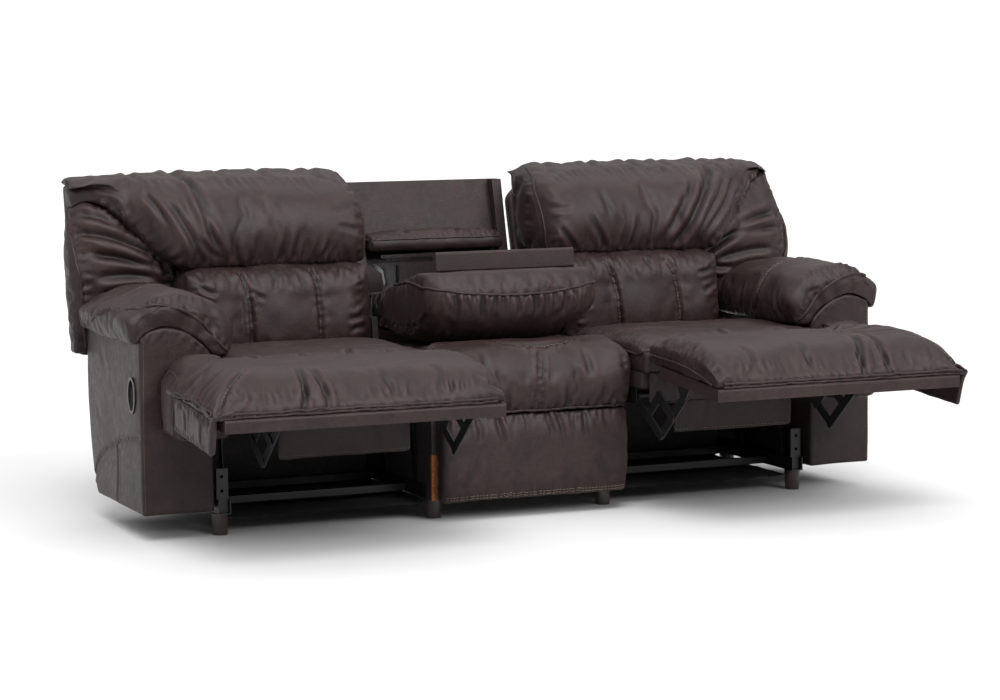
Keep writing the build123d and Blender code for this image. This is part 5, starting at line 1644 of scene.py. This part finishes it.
def dress(piece, body, nodes):
    """Material, body and hidden CAD nodes of a finished cover, with its piping and thread."""
    if not piece.data.materials:
        piece.data.materials.append(cover)
    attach(piece, body)
    if nodes:
        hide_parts(*nodes)
    seam_thread = thread_up(piece, thread)
    for extra in (seam_thread, *welts.get(piece.name, ())):
        if extra is not None:
            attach(extra, body)


for side in ("right", "left"):
    dress(head[side], f"{side}_back", [f"{side}_head_pillow"])
    dress(lumbar[side], f"{side}_back", [f"{side}_lumbar_cushion"])
    dress(wing[side], f"{side}_back", [f"{side}_wing_bolster"])
    dress(back_covers[side], f"{side}_back", [])
    dress(arm_pads[side], "base", [f"{side}_arm_pad"])
    dress(arm_bodies[side], "base", [f"{side}_arm_body"])
    dress(seats[side], f"{side}_seat", [f"{side}_seat_cushion"])
    dress(seat_blocks[side], f"{side}_seat", [])
    dress(seat_noses[side], f"{side}_seat", [])
    dress(seat_fronts[side], f"{side}_seat", [f"{side}_seat_apron"])
    dress(rests[side], f"{side}_footrest", [f"{side}_footrest_pad"])
    dress(rest_flaps[side], f"{side}_footrest", [f"{side}_footrest_flap"])
dress(centre_seat, "base", ["centre_seat_cushion"])
dress(centre_panel, "base", ["centre_front_panel"])
dress(roll, "console", ["console_pillow"])
dress(lid, "flap", ["console_flap"])
print("covers dressed")

# %% [markdown]
# ## Steel, wood and plastic
# The mechanism of a recliner is stamped steel with a thin black paint that is rubbed grey where
# links slide past each other. Paint is a dielectric film, so its metallic value stays 0 and its index
# 1.5. The console's levers are zinc-plated steel, a true metal with a fine brushed direction.

# %% Black painted steel
black_steel, tree, shader = finish_named("black_painted_steel")
place = add(tree, "ShaderNodeTexCoord")
# rubbed marks 10 to 30 mm across, paint skin under 1 mm
rubs = add(tree, "ShaderNodeTexNoise", {"Scale": 55.0, "Detail": 6.0, "Roughness": 0.7},
           {"Vector": (place, "Object")})
skin = add(tree, "ShaderNodeTexNoise", {"Scale": 900.0, "Detail": 2.0},
    {"Vector": (place, "Object")})
tone = add(tree, "ShaderNodeValToRGB",
           {"stops": [(0.3, colour("#0b0b0c")), (0.62, colour("#121213")),
               (0.78, colour("#242425"))]},
           {"Fac": (rubs, "Fac")})
gloss = add(tree, "ShaderNodeMapRange", {"From Min": 0.3, "From Max": 0.75, "To Min": 0.34,
    "To Max": 0.55},
            {"Value": (rubs, "Fac")})
dents = add(tree, "ShaderNodeBump", {"Strength": 0.12, "Distance": 0.0003},
    {"Height": (skin, "Fac")})
tree.links.new(tone.outputs["Color"], shader.inputs["Base Color"])
tree.links.new(gloss.outputs["Result"], shader.inputs["Roughness"])
tree.links.new(dents.outputs["Normal"], shader.inputs["Normal"])
shader.inputs["IOR"].default_value = 1.5
shader.inputs["Specular IOR Level"].default_value = 0.35

# %% Zinc-plated steel
zinc, tree, shader = finish_named("zinc_plated_steel")
place = add(tree, "ShaderNodeTexCoord")
# rolling lines under 1 mm wide and some 60 mm long, across the lever
stretch = add(tree, "ShaderNodeMapping", {"Scale": (1400.0, 16.0, 900.0)},
    {"Vector": (place, "Object")})
lines = add(tree, "ShaderNodeTexNoise", {"Scale": 1.0, "Detail": 3.0},
    {"Vector": (stretch, "Vector")})
tone = add(tree, "ShaderNodeValToRGB",
           {"stops": [(0.3, colour("#4c4e52")), (0.55, colour("#5f6165")),
               (0.8, colour("#75777b"))]},
           {"Fac": (lines, "Fac")})
gloss = add(tree, "ShaderNodeMapRange", {"To Min": 0.2, "To Max": 0.38}, {"Value": (lines, "Fac")})
tree.links.new(tone.outputs["Color"], shader.inputs["Base Color"])
tree.links.new(gloss.outputs["Result"], shader.inputs["Roughness"])
shader.inputs["Metallic"].default_value = 1.0

# %% [markdown]
# The seat frames are plywood coloured a dark brown, much darker than the bare plywood at the centre's
# front edges. Its figure is long and thin, so one noise is stretched along the grain; the feet are
# turned hardwood with a dark stain under lacquer.

# %% Plywood and feet
def wood(name, dark, mid, pale, stretch, rough, lacquer):
    """Straight-grained wood from three tones; stretch squeezes the figure across the grain."""
    material, tree, shader = finish_named(name)
    place = add(tree, "ShaderNodeTexCoord")
    along = add(tree, "ShaderNodeMapping", {"Scale": stretch}, {"Vector": (place, "Object")})
    figure = add(tree, "ShaderNodeTexNoise", {"Scale": 1.0, "Detail": 5.0, "Roughness": 0.6,
                                              "Distortion": 1.1}, {"Vector": (along, "Vector")})
    tone = add(tree, "ShaderNodeValToRGB",
               {"stops": [(0.34, colour(dark)), (0.5, colour(mid)), (0.66, colour(pale))]},
               {"Fac": (figure, "Fac")})
    relief = add(tree, "ShaderNodeBump", {"Strength": 0.25, "Distance": 0.0004},
        {"Height": (figure, "Fac")})
    tree.links.new(tone.outputs["Color"], shader.inputs["Base Color"])
    tree.links.new(relief.outputs["Normal"], shader.inputs["Normal"])
    shader.inputs["Roughness"].default_value = rough
    shader.inputs["IOR"].default_value = 1.5
    shader.inputs["Coat Weight"].default_value = lacquer
    shader.inputs["Coat Roughness"].default_value = 0.2
    return material


# figure 4 mm across and 120 mm along for the plywood, 2 mm and 50 mm for the feet
plywood = wood("dark_plywood", "#1a1310", "#241a15", "#30231c", (90.0, 8.0, 240.0), 0.7, 0.0)
foot_wood = wood("dark_stained_wood", "#1c1210", "#2c1d1a", "#3a2824", (420.0, 420.0, 20.0), 0.35,
    0.4)

# %% Moulded black plastic
plastic, tree, shader = finish_named("moulded_black_plastic")
place = add(tree, "ShaderNodeTexCoord")
# spark grain of the mould, about 0.7 mm, drawn at 1.5 mm
grain = add(tree, "ShaderNodeTexNoise", {"Scale": 650.0, "Detail": 2.0},
    {"Vector": (place, "Object")})
grit = add(tree, "ShaderNodeBump", {"Strength": 0.2, "Distance": 0.0004},
    {"Height": (grain, "Fac")})
tree.links.new(grit.outputs["Normal"], shader.inputs["Normal"])
shader.inputs["Base Color"].default_value = colour("#1a1718")
shader.inputs["Roughness"].default_value = 0.38
shader.inputs["IOR"].default_value = 1.53

# %% [markdown]
# The sides of the centre unit are covered with the same cloth, except for the strip in front of the
# seats that the footrests hide when they are shut. There the orange-brown plywood is bare, and the
# photograph shows it. Under each seat a thin black sheet is laid below the base and turned up behind
# the mechanism; it is painted shade, a black sheet that stands for the shade under the seats and makes
# that space dark. It sags between its tacks.

# %% Centre sides and the black sheets of painted shade under the seats
centre_finish, tree, shader = finish_named("covered_side_with_bare_front_edge")
place = add(tree, "ShaderNodeTexCoord")
split = add(tree, "ShaderNodeSeparateXYZ", {}, {"Vector": (place, "Object")})
ahead_of = add(tree, "ShaderNodeMath", {"operation": "LESS_THAN", 1: -0.1182}, {0: (split, "Y")})
low_down = add(tree, "ShaderNodeMath", {"operation": "LESS_THAN", 1: 0.19}, {0: (split, "Z")})
bare = add(tree, "ShaderNodeMath", {"operation": "MULTIPLY"},
    {0: (ahead_of, "Value"), 1: (low_down, "Value")})
# figure 4 mm across and 120 mm along, weave and nap about 20 mm
along = add(tree, "ShaderNodeMapping", {"Scale": (90.0, 8.0, 240.0)}, {"Vector": (place, "Object")})
figure = add(tree, "ShaderNodeTexNoise", {"Scale": 1.0, "Detail": 5.0, "Roughness": 0.6},
    {"Vector": (along, "Vector")})
nap = add(tree, "ShaderNodeTexNoise", {"Scale": 50.0, "Detail": 5.0, "Roughness": 0.7},
    {"Vector": (place, "Object")})
wood_tone = add(tree, "ShaderNodeValToRGB",
                {"stops": [(0.34, colour("#5e3016")), (0.5, colour("#8a4c24")),
                    (0.66, colour("#a66434"))]},
                {"Fac": (figure, "Fac")})
cloth_tone = add(tree, "ShaderNodeValToRGB",
                 {"stops": [(0.36, colour("#1a1414")), (0.5, colour("#221b1b")),
                     (0.66, colour("#2c2424"))]},
                 {"Fac": (nap, "Fac")})
mixed = add(tree, "ShaderNodeMix", {"data_type": "RGBA"},
            {0: (bare, "Value"), 6: (cloth_tone, "Color"), 7: (wood_tone, "Color")})
relief = add(tree, "ShaderNodeBump", {"Strength": 0.25, "Distance": 0.0005},
    {"Height": (nap, "Fac")})
tree.links.new(mixed.outputs[2], shader.inputs["Base Color"])
tree.links.new(relief.outputs["Normal"], shader.inputs["Normal"])
shader.inputs["Roughness"].default_value = 0.7
shader.inputs["IOR"].default_value = 1.5

# a black sheet of painted shade for the dark space under the seats
under_seat_shade_cloth, tree, shader = finish_named("black_under_seat_shade_cloth")
place = add(tree, "ShaderNodeTexCoord")
# bonded fibres, about 1 mm apart, drawn at 2 mm
fibres = add(tree, "ShaderNodeTexNoise", {"Scale": 500.0, "Detail": 4.0, "Distortion": 2.0},
    {"Vector": (place, "Object")})
tone = add(tree, "ShaderNodeValToRGB", {"stops": [(0.35, colour("#0c0c0c")),
    (0.65, colour("#161616"))]},
           {"Fac": (fibres, "Fac")})
relief = add(tree, "ShaderNodeBump", {"Strength": 0.3, "Distance": 0.0003},
    {"Height": (fibres, "Fac")})
tree.links.new(tone.outputs["Color"], shader.inputs["Base Color"])
tree.links.new(relief.outputs["Normal"], shader.inputs["Normal"])
shader.inputs["Roughness"].default_value = 0.95
shader.inputs["IOR"].default_value = 1.46

# one black sheet under each seat and up behind its mechanism, as painted shade
for side, hand in (("right", 1), ("left", -1)):
    u, v = np.meshgrid(np.linspace(0, 1, 57), np.linspace(0, 1, 49), indexing="ij")
    tacks = (2.2 * np.abs(np.sin(u * math.pi * 6)) * ((1 - v) ** 8 + v**8)
             + 2.2 * np.abs(np.sin(v * math.pi * 5)) * ((1 - u) ** 8 + u**8))
    flat = np.stack([312 + u * 556, 24 + v * 472,
        49.2 - 7 * np.sin(u * math.pi) * np.sin(v * math.pi) - tacks], -1)
    behind = []
    for z, end in ((61, 972), (110, 966), (150, 950), (175, 927), (230, 927), (284, 927)):
        along_x = np.linspace(304.5, end, 57)
        behind.append(np.stack([along_x, 507.5 + 1.2 * np.sin(along_x / 37 + z), np.full(57, z)],
            -1))
    grid = np.concatenate([flat, np.stack(behind, 1)], axis=1)
    rim = grid[:1].copy()
    rim[:, :49, 0], rim[:, :49, 2] = 304.5, 60
    grid = np.concatenate([rim, grid])
    wide, deep = grid.shape[:2]
    quads = [(a * deep + b, (a + 1) * deep + b, (a + 1) * deep + b + 1, a * deep + b + 1)
             for a in range(wide - 1) for b in range(deep - 1)]
    sheet = made_of(f"{side}_under_seat_shade_sheet", hand, [(grid.reshape(-1, 3), quads)], under_seat_shade_cloth)
    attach(sheet, "base")
print("dust covers tacked")

# %% [markdown]
# The steel base carries a board behind the mechanism, covered with the same cloth as the seat. Both
# belong to one CAD node, so the finish changes by depth: cloth behind, paint in front.

# %% Base with its covered rear board
base_finish, tree, shader = finish_named("painted_base_and_covered_board")
place = add(tree, "ShaderNodeTexCoord")
split = add(tree, "ShaderNodeSeparateXYZ", {}, {"Vector": (place, "Object")})
behind = add(tree, "ShaderNodeMath", {"operation": "GREATER_THAN", 1: 0.3888}, {0: (split, "Y")})
rubs = add(tree, "ShaderNodeTexNoise", {"Scale": 55.0, "Detail": 6.0, "Roughness": 0.7},
           {"Vector": (place, "Object")})
paint = add(tree, "ShaderNodeValToRGB",
            {"stops": [(0.3, colour("#0b0b0c")), (0.62, colour("#121213")),
                (0.78, colour("#202021"))]},
            {"Fac": (rubs, "Fac")})
cloth_tone = add(tree, "ShaderNodeValToRGB",
                 {"stops": [(0.36, colour("#1e1818")), (0.5, colour("#262020")),
                     (0.66, colour("#302929"))]},
                 {"Fac": (rubs, "Fac")})
mixed = add(tree, "ShaderNodeMix", {"data_type": "RGBA"},
            {0: (behind, "Value"), 6: (paint, "Color"), 7: (cloth_tone, "Color")})
gloss = add(tree, "ShaderNodeMapRange", {"To Min": 0.42, "To Max": 0.75},
    {"Value": (behind, "Value")})
tree.links.new(mixed.outputs[2], shader.inputs["Base Color"])
tree.links.new(gloss.outputs["Result"], shader.inputs["Roughness"])
shader.inputs["IOR"].default_value = 1.5

# %% [markdown]
# ## Finishes of the CAD nodes
# Covered boards get a soft edge from a bevel, since cloth pulled round a board can't show a sharp
# corner. Steel keeps its stamped edges with a hair of rounding that catches the light.

# %% Materials of the CAD nodes
finishes = (
    ("base_frame", base_finish, 0.6), ("links", black_steel, 0.5), ("carriage", black_steel, 0.5),
    ("brackets", black_steel, 0.5), ("hinge_arms", black_steel, 0.5), ("levers", zinc, 0.6),
    ("handle_cup", plastic, 0.5), ("pull_handle", plastic, 0.8), ("feet", foot_wood, 1.5),
    ("centre_frame", centre_finish, 0.8), ("seat_frame", plywood, 0.8), ("back_panel", cover, 4.0),
    ("footrest_board", cover, 4.0), ("console_shell", cover, 4.0), ("console_tray", cover, 4.0),
    ("console_box", cover, 4.0),
)
for name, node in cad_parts.items():
    finish, edge = next(((f, e) for key, f, e in finishes if key in name), (cover, 2.0))
    node.data.materials.clear()
    node.data.materials.append(finish)
    rounding = node.modifiers.new("edge", "BEVEL")
    rounding.width, rounding.segments = edge * 0.001, 2
    rounding.limit_method, rounding.angle_limit = "ANGLE", math.radians(35)
    rounding.harden_normals = True
print("finishes given to", len(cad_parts), "nodes")

# %% [markdown]
# ## Floor, light and camera
# The photograph is a catalogue cut-out: a white floor that runs into a white background, and one
# soft shadow under the sofa. A pale floor under a white sky that is brightest overhead, with two broad
# soft suns, gives that without any trick, as long as the floor is bright enough to reach the white of
# the sky.

# %% Floor
floor_mesh = bpy.data.meshes.new("studio_floor")
floor_mesh.from_pydata([(-60, -60, 0), (60, -60, 0), (60, 60, 0), (-60, 60, 0)], [], [(0, 1, 2, 3)])
floor = bpy.data.objects.new("studio_floor", floor_mesh)
bpy.context.scene.collection.objects.link(floor)
pale, _, pale_shader = finish_named("painted_studio_floor")
pale_shader.inputs["Base Color"].default_value = colour("#cecece")
pale_shader.inputs["Roughness"].default_value = 1.0
pale_shader.inputs["Specular IOR Level"].default_value = 0.0
floor_mesh.materials.append(pale)

# %% Light
world = bpy.data.worlds.new("studio")
bpy.context.scene.world = world
world.use_nodes = True
sky = world.node_tree
# a big soft box overhead, dark side walls, and a white sweep that closes the floor at eye level
ray = add(sky, "ShaderNodeTexCoord")
rise = add(sky, "ShaderNodeSeparateXYZ", {}, {"Vector": (ray, "Generated")})
box_light = add(sky, "ShaderNodeMapRange", {"From Min": 0.1, "From Max": 0.85, "To Min": 0.12,
    "To Max": 1.5},
                {"Value": (rise, "Z")})
sweep = add(sky, "ShaderNodeMapRange", {"From Min": 0.05, "From Max": 0.09, "To Min": 1.06,
    "To Max": 0.0},
            {"Value": (rise, "Z")})
studio = add(sky, "ShaderNodeMath", {"operation": "MAXIMUM"},
    {0: (box_light, "Result"), 1: (sweep, "Result")})
sky.links.new(studio.outputs["Value"], sky.nodes["Background"].inputs["Strength"])
sky.nodes["Background"].inputs["Color"].default_value = (1, 1, 1, 1)


def sun(name, heading, height, strength, spread):
    """A broad sun from a compass heading (0 in front, 90 to the right) and a height in degrees."""
    lamp = bpy.data.lights.new(name, "SUN")
    lamp.energy, lamp.angle = strength, math.radians(spread)
    lamp_object = bpy.data.objects.new(name, lamp)
    bpy.context.scene.collection.objects.link(lamp_object)
    a, b = math.radians(heading), math.radians(height)
    toward = Vector((math.sin(a) * math.cos(b), -math.cos(a) * math.cos(b), math.sin(b)))
    lamp_object.rotation_euler = toward.to_track_quat("Z", "Y").to_euler()


sun("key_light", -20, 56, 1.8, 30)
sun("front_light", 18, 30, 1.8, 26)

# %% Camera
camera = bpy.data.cameras.new("camera")
camera_object = bpy.data.objects.new("camera", camera)
bpy.context.scene.collection.objects.link(camera_object)
bpy.context.scene.camera = camera_object
# 2734.5 pixels in a frame 1000 pixels wide, on a 36 mm sensor
camera.lens, camera.sensor_width = 98.443, 36.0
camera_place = (-3.14374, -7.16201, 1.28785)
yaw, pitch, roll_angle = 0.40974, 0.105517, -0.008727
right0 = Vector((math.cos(yaw), -math.sin(yaw), 0))
ahead0 = Vector((math.sin(yaw), math.cos(yaw), 0))
ahead = ahead0 * math.cos(pitch) - Vector((0, 0, 1)) * math.sin(pitch)
above = ahead0 * math.sin(pitch) + Vector((0, 0, 1)) * math.cos(pitch)
right = right0 * math.cos(roll_angle) + above * math.sin(roll_angle)
top = above * math.cos(roll_angle) - right0 * math.sin(roll_angle)
camera_object.matrix_world = Matrix((
    (right.x, top.x, -ahead.x, camera_place[0]),
    (right.y, top.y, -ahead.y, camera_place[1]),
    (right.z, top.z, -ahead.z, camera_place[2]),
    (0, 0, 0, 1),
))
camera.clip_start, camera.clip_end = 0.1, 200
bpy.context.scene.view_settings.view_transform = "Standard"
print("camera at", tuple(round(v, 3) for v in camera_object.location))
